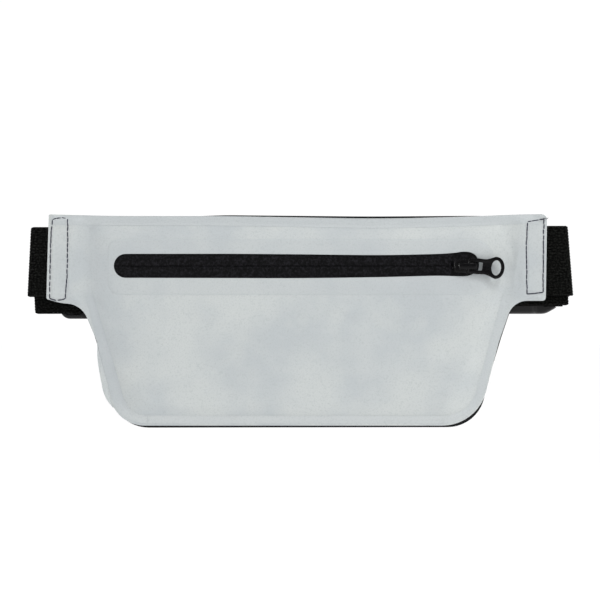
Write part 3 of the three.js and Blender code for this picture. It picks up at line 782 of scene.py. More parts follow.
def back_panel():
    """The back panel has no window, and its rim is rounded."""
    marks = [(-142, 59), (142, 59), (100, -58), (-100, -58)]
    edge = spread(split_at(rounded_outline(BACK_CORNERS), marks))
    spine = spread(
        [
            np.array([(-84, 12.4), (84, 12.4)]),
            arc((84, 12), 0.4, 90, -90, 20),
            np.array([(84, 11.6), (-84, 11.6)]),
            arc((-84, 12), 0.4, 270, 90, 20),
        ]
    )
    flat = [edge + (spine - edge) * t for t in np.linspace(0, 1, 30) ** 1.4]
    front = [upright(ring, back_y(*ring.T)) for ring in flat]
    back = [ring + (0, BACK_THICK, 0) for ring in front]
    front[0] = front[0] + (0, BACK_THICK * 0.3, 0)
    back[0] = back[0] - (0, BACK_THICK * 0.3, 0)
    points, faces = loft(front[::-1] + back)
    made = make_object("back_panel_weave", points, faces, backing)
    settle(made, "bag", "backing_fabric", "back_panel")


back_panel()

# ------------------------------------------------------------------ welded strips on the front


def strip(name, path, width, thick, tone, lift=0.02, across=5):
    """A thin film that lies on the front panel along a path of (x, z) points; its width may vary."""
    path = np.asarray(path, float)
    widths = np.broadcast_to(np.asarray(width, float), (len(path),))
    along = np.gradient(path, axis=0)
    along /= np.linalg.norm(along, axis=1)[:, None]
    sideways = np.stack([-along[:, 1], along[:, 0]], 1)
    places = np.linspace(-0.5, 0.5, across)
    sections = []
    for place, side, wide in zip(path, sideways, widths):
        offsets = places * wide
        x = place[0] + side[0] * offsets
        z = place[1] + side[1] * offsets
        base = front_y(x, z) - lift
        top = base - thick * (1 - 0.5 * (np.abs(places) > 0.49))
        front = np.stack([x, top, z], 1)
        rear = np.stack([x, base, z], 1)[::-1]
        sections.append(np.vstack([front, rear]))
    points, faces = loft(sections)
    return make_object(name, points, faces, film, tone=np.repeat(tone, 2 * across))


SEAM_THICK = 0.18
SEAM_INSET = 2.75  # from the bottom edge up to the bottom band's middle
SEAM_TOP, SEAM_FOOT = (120.5, 14.0), (102.9, -49.3)  # the side bands' middles, on the right


def seam_path(radius):
    """Down the side seam and round the bottom corner, on the right; also where the bottom band begins."""
    slope = (SEAM_TOP[0] - SEAM_FOOT[0]) / (SEAM_TOP[1] - SEAM_FOOT[1])
    lean = math.atan(slope)
    foot = FOOT_Z + SEAM_INSET
    meet = SEAM_FOOT[0] + (foot - SEAM_FOOT[1]) * slope
    centre = (meet - radius * math.tan(math.pi / 4 - lean / 2), foot + radius)
    bend = arc(centre, radius, -math.degrees(lean), -90, 24)
    return np.vstack([resample([SEAM_TOP, bend[0]], 60), bend[1:]]), centre[0]


def seam_bands():
    """The left band grows wider downwards; the three differ in how strongly they show."""
    left, left_corner = seam_path(18)
    right, right_corner = seam_path(22)
    foot = FOOT_Z + SEAM_INSET
    bottom = resample([(-left_corner + 0.3, foot), (right_corner - 0.3, foot)], 150)
    grown = 4.7 + 2.0 * smoothstep(-left[:, 1], -14, 44) - 2.2 * smoothstep(-left[:, 1], 49, 57)
    left_tone = 1 - 0.88 * smoothstep(-left[:, 1], 44, 57)
    right_tone = 0.5 - 0.38 * smoothstep(-right[:, 1], 44, 57)
    runs = (
        ("left", left * (-1, 1), grown, left_tone),
        ("right", right, 4.6, right_tone),
        ("bottom", bottom, 4.6, np.full(len(bottom), 0.12)),
    )
    for word, path, width, tone in runs:
        band = strip(f"seam_band_{word}_film", path, width, SEAM_THICK, tone)
        settle(band, "bag", "seam_film", f"seam_band_{word}")


def hem():
    top = front_outline[(front_outline[:, 1] > 57) & (np.abs(front_outline[:, 0]) < 139)]
    top = top[np.argsort(top[:, 0])]
    path = resample(np.vstack([(-142.4, 60.4), top, (139, 60.5)]), 180) - (0, 2.95)
    band = strip("top_edge_hem", path, 5.3, 0.2, np.full(len(path), 0.6), across=6)
    settle(band, "bag", "seam_film", "top_edge_tape")


def seam_allowance():
    """The left seam's spare edge: it curls out from behind the band and stands free at its foot."""
    shape = [(-9, 0.1), (-15, 0.9), (-21, 2.4), (-28, 3.4), (-35, 3.9), (-41, 3.9), (-46, 3.1), (-50.5, 0.9)]
    shape = smooth_line(shape, 8)
    across = np.linspace(0, 1, 9)
    sections = []
    for z, wide in shape:
        root = -122.9 + (14 - z) * 0.2607
        slit = 0.35 * smoothstep(-z, 40, 46)
        x = root - slit - across * max(wide - slit, 0.15) + 0.4 * (1 - smoothstep(-z, 36, 41))
        base = front_y(np.full(1, root + 1.0), np.full(1, z))[0]
        curl = 0.5 - 1.0 * np.sin(across * math.pi * 0.62) * wide / 3.0
        face = np.stack([x, base + curl, np.full(9, z)], 1)
        sections.append(np.vstack([face, (face + (0, 0.4, 0))[::-1]]))
    points, faces = loft(sections)
    made = make_object("seam_allowance_left", points, faces, laminate, tone=0.1)
    made.data.materials.append(lining)
    for polygon in made.data.polygons:
        if min(vertex % 18 for vertex in polygon.vertices) >= 9:
            polygon.material_index = 1
    settle(made, "bag", "reflective_fabric")


def bond_frame():
    """The film that bonds the zip to the panel's inside; its edge shows through as a faint ridge."""
    _, bond, window = front_rings()
    rings = []
    for share in (0.06, 0.35, 0.7, 1.0):
        ring = window + (bond - window) * share
        rings.append(upright(ring, front_y(*ring.T) + SHELL + 0.05))
    behind = [ring + (0, 0.2, 0) for ring in rings]
    points, faces = loft(rings + behind[::-1], closed=True)
    settle(make_object("zip_bond_frame", points, faces, film, tone=1), "bag", "seam_film", "zip_bond_film")


seam_bands()
hem()
seam_allowance()
bond_frame()

# ------------------------------------------------------------------ the zip

TAPE_LEFT, TAPE_RIGHT = -110.5, 108.0
SLIDER_X = 96.2
PARTED = 1.9
TAPE_OUTER = 15.6
TAPE_THICK = 0.5
COIL_PITCH = 1.27
COIL_LEFT, COIL_RIGHT = -101.0, 104.8


def parting(x):
    """Half the gap that the slider holds open between the tapes."""
    return PARTED * smoothstep(np.asarray(x, float), SLIDER_X - 2.5, SLIDER_X + 3.2)


def zip_level(x):
    """The tape's outer face beside the window, behind the laminate and its bond film."""
    x = np.asarray(x, float)
    return front_y(x, np.full_like(x, ZIP_Z + WINDOW_HALF + 1.6)) + SHELL + 0.3


def zip_tape(side, word):
    # Distance from the zip's centre line and height towards the viewer: a rolled edge, the ridge over the
    # coil, a shallow valley and the flat that is bonded under the laminate.
    profile = [(0.07, -0.75), (0.1, -0.05), (0.4, 0.28), (1.0, 0.4), (1.6, 0.45), (2.2, 0.45), (2.8, 0.4)]
    profile += [(3.4, 0.3), (4.2, 0.12), (5.2, 0.03), (6.6, 0.0), (8.4, 0.0), (12, 0.0), (TAPE_OUTER, 0.0)]
    profile = np.array(profile)
    over_coil = np.exp(-(((profile[:, 0] - 2.0) / 1.3) ** 2))
    sections = []
    for x in np.arange(TAPE_LEFT, TAPE_RIGHT, 0.26):
        apart = profile[:, 0] + parting(x) * (1 - profile[:, 0] / 20)
        z = ZIP_Z + side * apart
        hidden = smoothstep(profile[:, 0], 5.5, 8.0)
        level = zip_level([x])[0] * (1 - hidden) + (front_y(np.full_like(z, x), z) + SHELL + 0.3) * hidden
        tooth = 0.16 * over_coil * math.cos(2 * math.pi * x / COIL_PITCH)
        mouth = 1.3 * math.exp(-(((x - SLIDER_X + 7.1) / 0.9) ** 2)) * np.exp(-((profile[:, 0] / 3.0) ** 4))
        face = np.stack([np.full_like(z, x), level - profile[:, 1] - tooth + mouth, z], 1)
        sections.append(np.vstack([face, (face + (0, TAPE_THICK, 0))[::-1]]))
    points, faces = loft(sections)
    return make_object(f"zip_tape_{word}_coated", points, faces, coated_tape, sharp=60)


def coil(side, word):
    """Monofilament coil: a flattened helix behind the tape's rolled edge."""
    turns = int((COIL_RIGHT - COIL_LEFT) / COIL_PITCH)
    per_turn = 10
    angle = np.linspace(0, 2 * math.pi * turns, turns * per_turn + 1)
    x = COIL_LEFT + COIL_PITCH * (angle / (2 * math.pi) + (0.25 if side > 0 else -0.25)) + 0.3
    apart = 1.55 + 1.15 * np.cos(angle) + parting(x)
    depth = zip_level(x) + 1.55 + 0.62 * np.sin(angle)
    path = np.stack([x, depth, ZIP_Z + side * apart], 1)
    return tube(f"zip_coil_{word}_teeth", path, 0.3, nylon)


def tube(name, path, radius, material):
    points, faces = tube_shape(path, radius, 6)
    return make_object(name, points, faces, material, sharp=70)


def tube_shape(path, radius, sides):
    """A tube along a path of points, its frame carried along without twist; radius may vary."""
    path = np.asarray(path, float)
    radii = np.broadcast_to(np.asarray(radius, float), (len(path),)).copy()
    radii[0], radii[-1] = radii[0] * 0.55, radii[-1] * 0.55
    along = np.gradient(path, axis=0)
    along /= np.linalg.norm(along, axis=1)[:, None]
    up = np.array([0, 1.0, 0]) if abs(along[0][1]) < 0.9 else np.array([1.0, 0, 0])
    turns = np.linspace(0, 2 * math.pi, sides, endpoint=False)[:, None]
    sections = []
    for place, forward, size in zip(path, along, radii):
        up = up - forward * (up @ forward)
        up /= np.linalg.norm(up)
        across = np.cross(forward, up)
        sections.append(place + size * (np.cos(turns) * up + np.sin(turns) * across))
    return loft(sections)


def squash_with_zip(made):
    """Give the half a mesh of its own."""
    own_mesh(made)


def zip_halves():
    for side, word in ((1, "upper"), (-1, "lower")):
        tape = settle(zip_tape(side, word), "bag", "zip_tape", f"zip_tape_{word}")
        teeth = settle(coil(side, word), "bag", "nylon_coil", f"zip_coil_{word}")
        squash_with_zip(tape)
        squash_with_zip(teeth)


def zip_stops():
    """Moulded stops that end the coils."""
    for node in ("zip_bottom_stop", "zip_top_stop_upper", "zip_top_stop_lower"):
        low, high = cad_box(node)
        outline = rounded_box(low[0], high[0], low[2], high[2], 0.5, 4)
        made = plate(node + "_moulded", outline, [], low[1], high[1], 0.25, nylon)
        settle(made, "bag", "nylon_coil", node)


zip_halves()
zip_stops()

# ------------------------------------------------------------------ the slider and its pull

WING_TOP, WING_BACK = -9.0, -7.75


def mirrored(half):
    """An outline from its upper half, which runs left to right."""
    half = np.asarray(half, float)
    return np.vstack([half, (half * (1, -1))[::-1]])


def zip_slider():
    """Two wings, the wedge that parts the coils and the lips that close round the tapes."""
    half = [(-6.2, 2.0), (-5.9, 3.2), (-4.6, 3.7), (0, 3.8), (2.6, 4.4), (4.6, 4.0), (6.4, 2.6), (7.1, 1.2)]
    wing = mirrored(smooth_line(half, 4)) + (SLIDER_X, ZIP_Z)
    top = plate("wing_top", wing, [], WING_TOP, WING_BACK, 0.42, casting)
    inner = plate("wing_inner", wing, [], -3.5, -2.5, 0.3, casting)
    post = mirrored([(2.2, 0), (3.6, 1.1), (5.4, 0.5)]) + (SLIDER_X, ZIP_Z)
    wedge = plate("wedge", post, [], WING_BACK - 0.3, -3.3, 0.1, casting)
    parts = [top, inner, wedge]
    for side in (1, -1):
        lip = rounded_box(-5.6, -1.6, -0.4, 0.4, 0.3, 3) + (SLIDER_X, ZIP_Z + side * 3.7)
        parts.append(plate("lip", lip, [], -5.2, -3.2, 0.12, casting))
    made = join_objects("slider_body_cast", parts)
    settle(made, "zip_slider", "slider_metal", "slider_body")


def slider_crown():
    """The bridge over the pull's bar: it arches from the tail of the wing to its nose."""
    foot = WING_TOP + 0.25
    left, right = SLIDER_X - 4.3, SLIDER_X + 7.3
    ridge = smooth_line(
        [(left, foot), (left + 0.1, -10.9), (left + 1.2, -11.8), (left + 4, -12.0), (right - 4, -11.9),
         (right - 1.2, -11.1), (right - 0.1, -10.0), (right, foot)], 5,
    )
    under = smooth_line(
        [(right - 1.3, foot), (right - 1.5, -10.1), (right - 3, -10.8), (left + 4, -10.95),
         (left + 1.7, -10.7), (left + 1.2, -10.0), (left + 1.2, foot)], 5,
    )
    profile = np.vstack([ridge, under])
    half = 1.85
    sections = []
    rounding = [(half, 0.35), (half - 0.12, 0.1), (half - 0.4, 0)]
    for z, inset in [(-z, inset) for z, inset in rounding] + rounding[::-1]:
        shrunk = shrink(profile, inset)
        sections.append(np.column_stack([shrunk, np.full(len(shrunk), ZIP_Z + z)]))
    points, faces = loft(sections)
    made = make_object("slider_crown_cast", points, faces, casting, sharp=50)
    settle(made, "zip_slider", "slider_metal", "slider_crown")


def shrink(outline, inset):
    """Move a closed outline's points inwards by inset."""
    along = np.roll(outline, -1, axis=0) - np.roll(outline, 1, axis=0)
    along /= np.maximum(np.linalg.norm(along, axis=1), 1e-9)[:, None]
    x, z = outline.T
    area = np.sum(x * np.roll(z, -1) - np.roll(x, -1) * z)
    inwards = np.stack([-along[:, 1], along[:, 0]], 1) * (1 if area > 0 else -1)
    return outline + inwards * inset


PULL_DROOP = math.radians(5)
PULL_BAR = np.array([98.0, ZIP_Z + 0.35])
PULL_Y = -9.6


def pull():
    """The pull: an eye round the crown, a neck and an oval ring, drooping a little."""
    ring = (15.9, 0)
    upper = [(-0.2, 2.7), (-0.1, 3.6), (0.5, 4.15), (2.4, 4.45)]
    upper = smooth_line(upper + [(5, 4.6), (8.4, 4.4), (10.2, 4.45), (12, 5.0)], 4)
    rim = arc(ring, (4.8, 6.35), 110, -110, 40)
    outline = np.vstack([upper, rim, (upper * (1, -1))[::-1]])
    eye = rounded_outline([(0.9, 2.3, 0.5), (8.15, 2.3, 0.7), (7.9, -2.3, 0.7), (0.9, -2.3, 0.5)], 5)
    hole = arc(ring, (2.75, 4.35), 0, 360, 40)[:-1]
    cos, sin = math.cos(PULL_DROOP), math.sin(PULL_DROOP)
    droop = np.array([[cos, -sin], [sin, cos]])
    edge, *holes = [points @ droop + PULL_BAR for points in (outline, eye, hole)]
    made = plate("pull_tab_cast", edge, holes, PULL_Y - 0.75, PULL_Y + 0.75, 0.38, casting)
    settle(made, "zip_pull", "slider_metal", "pull_tab")


zip_slider()
slider_crown()
pull()

# ------------------------------------------------------------------ webbing

RIB_HEIGHT = 0.24
FOLD = {"left": -155.4, "inner_right": 155.2, "inner_left": -153.4, "outer_right": 157.6}
LAYER = {"stub": -2.5, "first": 1.3, "second": 3.3, "third": 5.3}
LEVEL = {"left_tab": 33.3, "right_tab": 34.0, "inner_right": 28.5, "inner_left": 23.6, "buckle": 28.1}
CORNER = 1.7  # how far from its edge a folded strap begins to round off


def turn(x, y, radius, start, end, z, lean, steps=14):
    """Points of a fold about (x, y), at one height and lean."""
    bend = arc((x, y), radius, start, end, steps)
    return [(px, py, z, lean) for px, py in bend]


def even_route(route, step):
    """The route with extra points, so that no stretch is longer than step."""
    out = [route[0]]
    for a, b in zip(route, route[1:]):
        a, b = np.array(a, float), np.array(b, float)
        pieces = max(1, math.ceil(np.hypot(*(b - a)[:2]) / step))
        out += [tuple(a + (b - a) * i / pieces) for i in range(1, pieces + 1)]
    return np.array(out)


def web_section():
    """Half a section across the webbing: its place across, from -0.5 to 0.5, and its half thickness."""
    across = np.linspace(-0.5, 0.5, RIBS * 4 + 1)
    ribs = np.abs(np.sin(across * math.pi * RIBS))
    edge = np.sqrt(np.clip(1 - ((np.abs(across) - 0.488) / 0.012).clip(0, 1) ** 2, 0.02, 1))
    return across, (WEB_THICK / 2 - RIB_HEIGHT * (1 - ribs)) * edge


def ribbon(name, route, step=6.0, rounded=(1, 1)):
    """Ribbed webbing along a route of (x, y, centre z, lean) points; lean tips its width along X.

    rounded says how far a fold's lower and upper corner are rounded off.
    """
    route = even_route(route, step)
    across, half = web_section()
    along = np.gradient(route[:, :2], axis=0)
    along /= np.linalg.norm(along, axis=1)[:, None]
    normal = np.stack([-along[:, 1], along[:, 0]], 1)
    run = np.concatenate([[0], np.cumsum(np.hypot(*np.diff(route[:, :2], axis=0).T))])
    sections, uv = [], []
    bend = np.abs(np.gradient(np.unwrap(np.arctan2(along[:, 1], along[:, 0])), run))
    folded = np.clip(bend * 1.5, 0, 1)
    beyond = np.clip((np.abs(across) * WEB_WIDTH - WEB_WIDTH / 2 + CORNER) / CORNER, 0, 1)
    rounding = CORNER * 0.8 * (1 - np.sqrt(1 - beyond**2 * 0.98)) * np.where(across < 0, *rounded)
    for i, (x, y, z, lean) in enumerate(route):
        up = across * WEB_WIDTH
        tip = up * lean - np.sign(x) * rounding * folded[i]
        wander = 0.12 * math.sin(run[i] / 17.0)
        out_x, out_y = half * normal[i, 0], half * normal[i, 1]
        near, rear = (
            np.stack([x + tip + sign * out_x, y + sign * out_y, z + up + wander], 1) for sign in (-1, 1)
        )
        sections.append(np.vstack([near, rear[::-1]]))
        uv.append(np.stack([np.full(2 * len(up), run[i]), np.concatenate([up, up[::-1]])], 1))
    points, faces = loft(sections)
    return make_object(name, points, faces, webbing, uv=np.concatenate(uv), sharp=80)


SEWN_END = 131.5  # where the belt ends under each tab
OUTER_LEAN, INNER_LEAN = 0.05, -0.05


def long_strap():
    """Three layers behind the bag, from the left tab to the fold beside the belt slider."""
    tight = (LAYER["second"] - LAYER["first"]) / 2
    wide = (LAYER["first"] - LAYER["stub"]) / 2
    half = WEB_THICK / 2
    tab = LEVEL["left_tab"]
    route = [(-SEWN_END, LAYER["stub"], tab, OUTER_LEAN)]
    route += turn(
        FOLD["left"] + half + wide, (LAYER["stub"] + LAYER["first"]) / 2, wide, 270, 90, tab, OUTER_LEAN
    )
    route += turn(
        FOLD["inner_right"] - half - tight, (LAYER["first"] + LAYER["second"]) / 2, tight, -90, 90,
        LEVEL["inner_right"], -0.08,
    )
    route += turn(
        FOLD["inner_left"] + half + tight, (LAYER["second"] + LAYER["third"]) / 2, tight, 270, 90,
        LEVEL["inner_left"], INNER_LEAN,
    )
    route.append((-146, LAYER["third"], LEVEL["inner_left"], INNER_LEAN))
    settle(ribbon("strap_long_webbing", route), "bag", "elastic_webbing", "strap_long")


MALE_BAR = 77.2
MALE_Y = 9.5
WRAP = 3.2  # half the height of the webbing's loop round a buckle bar
SPLIT_X = 30.0  # where the adjuster loop changes from following the belt slider to following the buckle
GLIDE_X = float(sum(corner[0] for corner in cad_box("belt_slider")) / 2)  # the belt slider's middle bar


def adjuster_loop():
    """The belt's adjustable end, in three pieces that each cross one joint."""
    z, far = LEVEL["inner_left"], LEVEL["buckle"]
    share = (SPLIT_X + 106) / (MALE_BAR - 16 + 106)
    middle = z + (far - z) * share
    upper, lower = 8.9, 6.15
    feed = [(-146.1, 5.3, z, INNER_LEAN), (GLIDE_X - 7.8, 5.3, z, 0)]
    over = [(-7.8, 5.3), (-6.6, 5.6), (-5.7, 6.3), (-4.9, 8.2), (-4.8, 10), (-4.7, 11.6), (-3.6, 13.1)]
    over += [(-1.8, 13.6), (1.8, 13.6), (3.6, 13.1), (4.8, 11.4), (4.9, 9.4), (6.1, 7.6), (8.3, 7), (18, 7)]
    back = [(18, 5.2), (6.7, 5.2), (3.7, 5.9), (1.2, 6.8), (-1.3, 6.9), (-2.6, 7.5), (-3.1, 8.6)]
    back += [(-3.1, 10.4), (-2.5, 11.3), (-1.5, 11.7), (1.5, 11.7), (2.6, 11.2), (3, 10.3), (3, 9.2)]
    weave = [(GLIDE_X + x, y, z, 0) for x, y in smooth_line(over, 4)] + [(SPLIT_X, upper, middle, 0)]
    sewn = [(SPLIT_X, lower, middle, 0)] + [(GLIDE_X + x, y, z, 0) for x, y in smooth_line(back, 4)]
    round_bar = [(-16, WRAP - 0.9), (-4, WRAP - 0.2), (3, WRAP), (4.4, WRAP - 0.7), (5, 1.2)]
    round_bar += [(5, -1.2), (4.4, 0.7 - WRAP), (3, -WRAP), (-4, 0.1 - WRAP), (-16, -0.2 - WRAP)]
    end = [(MALE_BAR + x, MALE_Y + y, far, 0) for x, y in smooth_line(round_bar, 4)]
    end = [(SPLIT_X, upper, middle, 0)] + end + [(SPLIT_X, lower, middle, 0)]
    slot = "elastic_webbing"
    first = settle(ribbon("strap_feed_webbing", feed, 2.0), None, slot)
    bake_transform(first)
    for name, route in (("strap_adjuster_upper", weave), ("strap_adjuster_lower", sewn)):
        run = settle(ribbon(name, route, 5.0), None, slot)
        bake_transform(run)
    loop = settle(ribbon("strap_buckle_loop", end, 4.0), None, slot, "strap_adjuster_loop")
    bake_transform(loop)


FEMALE_RIGHT = 148.8


def short_strap():
    """From the right tab round the folded belt to the female half's bar."""
    outside = FOLD["outer_right"] - WEB_THICK / 2
    lean = -0.08
    bar, z = FEMALE_RIGHT, LEVEL["buckle"] - 0.15
    tab = LEVEL["right_tab"]
    route = [(SEWN_END, LAYER["stub"], tab, lean)]
    route += turn(outside - 3, LAYER["stub"] + 3, 3, -90, 0, tab, lean, 8)
    down = [
        (outside - 0.1, 2.5, tab, lean),
        (outside - 0.3, 4.6, tab + 0.2, lean),
        (outside - 1.2, 7.0, tab - 0.3, lean),
        (outside - 2.8, 9.3, z + 3.4, lean / 2),
        (bar + 3.6, 10.6, z + 0.8, 0),
    ]
    loop = [(2.3, 11), (0.8, 12.1), (-0.5, 12.6), (-1.8, 12.7), (-4, 12.7), (-5.2, 12.1), (-5.6, 11)]
    loop += [(-5.6, 8), (-5.2, 6.9), (-4, 6.3), (-1.8, 6.3), (-0.5, 6.4), (0.8, 6.9), (2.3, 8.1), (4.8, 8.6)]
    wrap = down + [(bar + x, y, z, 0) for x, y in loop]
    route += [tuple(p) for p in smooth_line(wrap, 3)]
    settle(ribbon("strap_short_webbing", route, rounded=(0.3, 1)), "bag", "elastic_webbing", "strap_short")


long_strap()
adjuster_loop()
short_strap()

# ------------------------------------------------------------------ stitching


STITCH, STITCH_GAP = 2.8, 0.05  # a stitch's length, and the gap to the next one
STITCH_DIP = 0.16  # how deep a stitch's ends dive
THREAD = 0.31  # the thread's radius


def stitch_run(path, seed):
    """Stitches on the front panel along (x, z) points; each dives into the cloth at its ends."""
    random = np.random.default_rng(seed)
    line = resample(path, max(2, int(np.sum(np.linalg.norm(np.diff(path, axis=0), axis=1)) * 6)))
    steps = np.concatenate([[0], np.cumsum(np.linalg.norm(np.diff(line, axis=0), axis=1))])
    count = max(1, round(steps[-1] / (STITCH + STITCH_GAP)))
    parts = []
    for i in range(count):
        start = steps[-1] * i / count + random.normal(0, 0.07)
        at = np.linspace(start, start + STITCH * random.uniform(0.92, 1.06), 7)
        x = np.interp(at, steps, line[:, 0]) + random.normal(0, 0.07)
        x = x + np.linspace(-1, 1, 7) * random.normal(0, 0.06)
        z = np.interp(at, steps, line[:, 1]) + random.normal(0, 0.05)
        rise = np.sin(np.linspace(0.12, 0.88, 7) * math.pi)
        y = front_y(x, z) - THREAD * 0.6 + STITCH_DIP * (1 - rise)
        parts.append(tube_shape(np.stack([x, y, z], 1), THREAD * (0.75 + 0.25 * rise), 7))
    return parts


def box_stitches():
    """A box of lockstitch on each tab, a little uneven, with a loose thread end at the right."""
    corners = {
        "left": [
            (-141.6, 57.8), (-139.4, 58.6), (-136.3, 58.9), (-133.0, 58.3), (-132.7, 53.8), (-132.9, 35.3),
            (-133.2, 26.5), (-134.1, 12.5), (-135.9, 11.7), (-139.4, 11.3), (-141.3, 11.8), (-143.1, 12.5),
            (-143.2, 19.5), (-142.9, 26.5), (-142.6, 44.1), (-142.3, 51.6), (-141.6, 57.8),
        ],
        "right": [
            (132.3, 56.4), (136.5, 57.4), (141.8, 58.2), (141.6, 48.9), (141.2, 15.9), (136.5, 15.3),
            (132.0, 15.0), (131.6, 40.3), (132.3, 56.4),
        ],
    }
    for seed, (word, path) in enumerate(corners.items()):
        parts = []
        for a, b in zip(path, path[1:]):
            parts += stitch_run(np.array([a, b]), 20 + seed * 100 + len(parts))
        if word == "right":
            tail = [(141.0, -4.3, 58.2), (142.2, -4.6, 58.6), (143.4, -4.4, 58.3), (144.3, -3.9, 59.0)]
            parts.append(tube_shape(smooth_line(tail, 5), THREAD * 0.5, 6))
        points, faces = joined(parts)
        made = make_object(f"box_stitch_{word}_thread", points, faces, thread, sharp=80)
        settle(made, "bag", "sewing_thread", f"box_stitch_{word}")


def bar_tack():
    """Dense zigzag that closes the short strap's loop."""
    x = FEMALE_RIGHT + 4.0
    levels = np.linspace(LEVEL["buckle"] - 16, LEVEL["buckle"] + 16, 60)
    path = [(x + (0.8 if i % 2 else -0.8), 11.42, z) for i, z in enumerate(levels)]
    made = tube("strap_bar_tack_thread", path, 0.16, thread)
    settle(made, "bag", "sewing_thread", "strap_bar_tack")


box_stitches()
bar_tack()

# ------------------------------------------------------------------ buckle and belt slider

BUCKLE_HALF = 24.7
FEMALE_LEFT = 108.0
EAR_RIGHT = 151.8  # the female half's frame runs past its bar, in an ear above and below the webbing


MOULD_EDGE = 1.2  # how far in the rounding of a rim reaches
NECK = 2.0  # half the thickness beside a webbing bar
GRIP_PITCH = 3.2


def crowned(z):
    """How far a buckle body reaches on each side of its middle plane: most at mid height."""
    return 4.55 + 0.35 * np.clip(1 - ((z - LEVEL["buckle"]) / BUCKLE_HALF) ** 2, 0, 1)


def pebble(name, outline, thickness, spine, rows):
    """A moulded half of the buckle, thickness(x, z) deep on each side of its middle, with a rounded rim.

    Its loops close in on the spine, a line along X at mid height."""
    shares = np.concatenate([np.linspace(0, 0.12, 6), np.linspace(0.12, 0.985, rows)[1:]])
    target = np.stack([np.clip(outline[:, 0], *spine), np.full(len(outline), LEVEL["buckle"])], 1)
    front, back = [], []
    for share in shares:
        ring = outline + (target - outline) * share
        rim = np.minimum(distance_to(outline, *ring.T), MOULD_EDGE)
        rounding = np.sqrt(np.clip(1 - (1 - rim / MOULD_EDGE) ** 2, 0, 1))
        half = thickness(*ring.T)
        base = np.maximum(half - MOULD_EDGE, 0.2)
        depth = base + (half - base) * rounding
        front.append(upright(ring, MALE_Y - depth))
        back.append(upright(ring, MALE_Y + depth))
    points, faces = loft(front[::-1] + back)
    return make_object(name, points, faces, acetal, sharp=50)


def cutter(left, right, deep, tall, radius, axis=1):
    """A bar to cut the buckle with, centred on it; deep and tall are half its size along Y and Z.

    Its corners are rounded in the plane across axis."""
    low = np.array([left, MALE_Y - deep, LEVEL["buckle"] - tall])
    high = np.array([right, MALE_Y + deep, LEVEL["buckle"] + tall])
    others = [i for i in range(3) if i != axis]
    (a0, b0), (a1, b1) = low[others], high[others]
    ring = rounded_box(a0, a1, b0, b1, radius, 6)
    sections = []
    for level in (low[axis], high[axis]):
        section = np.empty((len(ring), 3))
        section[:, others[0]], section[:, others[1]] = ring[:, 0], ring[:, 1]
        section[:, axis] = level
        sections.append(section)
    points, faces = loft(sections)
    return make_object("cutter", points, faces, acetal)


def carve(piece, *cutters):
    """Cut the cutters away from a piece, and round the new edges."""
    for some in cutters:
        modifier = piece.modifiers.new("cut", "BOOLEAN")
        modifier.operation = "DIFFERENCE"
        modifier.solver = "EXACT"
        modifier.object = some
    rounder = piece.modifiers.new("round", "BEVEL")
    rounder.width = 0.35 * MM
    rounder.segments = 2
    rounder.limit_method = "ANGLE"
    rounder.angle_limit = math.radians(42)
    graph = bpy.context.evaluated_depsgraph_get()
    mesh = bpy.data.meshes.new_from_object(piece.evaluated_get(graph))
    piece.modifiers.clear()
    piece.data = mesh
    for some in cutters:
        bpy.data.objects.remove(some)
    mesh.shade_smooth()
    mesh.set_sharp_from_angle(angle=math.radians(38))


def female_half():
    """The receiving half: a crowned shell with a mouth, a window in each side and a bar for the webbing."""
    left, right, z0 = FEMALE_LEFT, FEMALE_RIGHT, LEVEL["buckle"]
    top, bottom = z0 + BUCKLE_HALF, z0 - BUCKLE_HALF
    # Each corner's x, its distance in from the edge, and its radius
    ear = [(left, 0, 3), (143.6, 0, 10), (150.0, 3.6, 4), (EAR_RIGHT, 7.5, 2)]
    upper = [(x, top - down, radius) for x, down, radius in ear]
    lower = [(x, bottom + down, radius) for x, down, radius in reversed(ear)]
    outline = resample(rounded_outline(upper + lower, 10), 260, closed=True)

    def thickness(x, z):
        neck = smoothstep(x, right - 13.5, right - 9.6)
        return crowned(z) * (1 - neck) + NECK * neck

    body = pebble("buckle_female_moulded", outline, thickness, (left + 14, right - 14), 16)
    mouth = cutter(left - 2, right - 12.3, 3.2, 20.5, 1.0, axis=0)
    windows = cutter(left + 4, left + 20.6, 3.2, BUCKLE_HALF + 2, 1.2, axis=2)
    slot = cutter(right - 6.6, right - 4.1, 8, 20.3, 1.0)
    recess = cutter(right, right + 9, 8, 20.5, 0.6)
    carve(body, mouth, windows, slot, recess)
    settle(body, "bag", "buckle_plastic", "buckle_female")


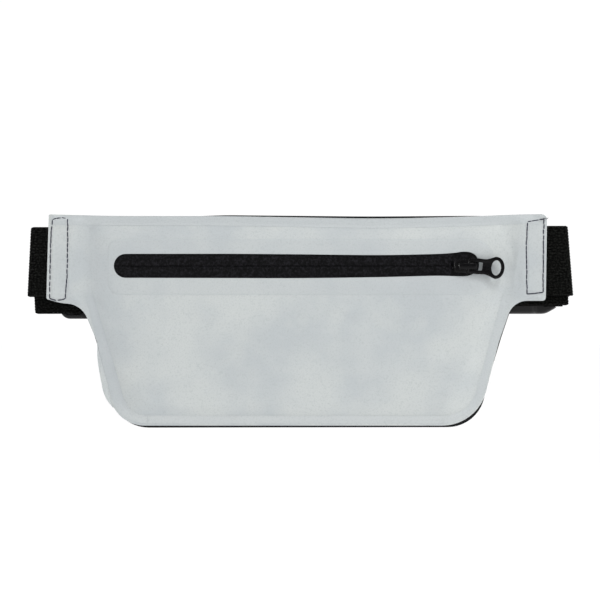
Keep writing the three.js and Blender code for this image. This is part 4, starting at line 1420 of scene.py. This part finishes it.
def male_half():
    """The inserted half: a bar for the webbing, a crowned body and a guide tongue."""
    left, right, z0 = MALE_BAR, FEMALE_LEFT - 0.3, LEVEL["buckle"]
    top, bottom = z0 + BUCKLE_HALF, z0 - BUCKLE_HALF
    outline = rounded_outline([(left, top, 8), (right, top, 3), (right, bottom, 3), (left, bottom, 8)], 10)
    outline = resample(outline, 200, closed=True)

    def thickness(x, z):
        neck = 1 - smoothstep(x, left + 8.4, left + 12.4)
        ribs = smoothstep(np.cos((x - left) * 2 * math.pi / GRIP_PITCH), 0.2, 0.9)
        grip = 0.25 * ribs * smoothstep(x, left + 14, left + 16)
        return (crowned(z) - grip) * (1 - neck) + NECK * neck

    body = pebble("buckle_male_moulded", outline, thickness, (left + 14, right - 10), 26)
    carve(body, cutter(left + 3.8, left + 8, 8, 20.5, 1.2))
    tip = right + 23.8
    tongue = [(right - 1, z0 + 4.4, 0.5), (tip, z0 + 4.4, 2), (tip, z0 - 4.4, 2), (right - 1, z0 - 4.4, 0.5)]
    guide = plate("guide", rounded_outline(tongue, 6), [], MALE_Y - 2.3, MALE_Y + 2.3, 0.4, acetal)
    settle(join_objects("buckle_male_moulded", [body, guide]), "male_half", "buckle_plastic", "buckle_male")


def prongs():
    """The two springy arms; each button fills a window in the female half."""
    root_x, root_z, radius = 108.2, 15.5, 0.45
    arm = [(0, -2.3), (19, -1.8), (20.4, -0.6), (20.5, 3.2), (18.5, 7.6), (16, 8.1)]
    arm += [(6.8, 8.0), (6, 7.4), (5.2, 2.6), (3.6, 2.2), (0, 2.3)]
    for side, word in ((1, "upper"), (-1, "lower")):
        corners = [(root_x + x, LEVEL["buckle"] + side * (root_z + z), radius) for x, z in arm]
        outline = rounded_outline(corners, 3)
        made = plate(f"buckle_prong_{word}_moulded", outline, [], MALE_Y - 2.65, MALE_Y + 2.65, 0.35, acetal)
        settle(made, f"prong_{word}", "buckle_plastic", f"buckle_prong_{word}")


def belt_slider():
    """A frame with a middle bar; the webbing weaves through its two slots."""
    low, high = cad_box("belt_slider")
    x0, y0, z0 = low
    x1, y1, z1 = high
    bar, slot = 4.0, 20.3
    middle, level = (x0 + x1) / 2, (z0 + z1) / 2
    outline = rounded_box(x0, x1, z0, z1, 6, 10)
    holes = [
        rounded_box(a, b, level - slot, level + slot, 1, 5)
        for a, b in ((x0 + bar, middle - bar / 2), (middle + bar / 2, x1 - bar))
    ]
    made = plate("belt_slider_moulded", outline, holes, y0, y1, 0.95, acetal, bevel_steps=5)
    settle(made, "strap_slider", "buckle_plastic", "belt_slider")


female_half()
male_half()
prongs()
belt_slider()

# ------------------------------------------------------------------ what stays as the CAD made it

pawl = bpy.data.objects["slider_lock_pawl"]
pawl.data.materials.clear()
pawl.data.materials.append(casting)
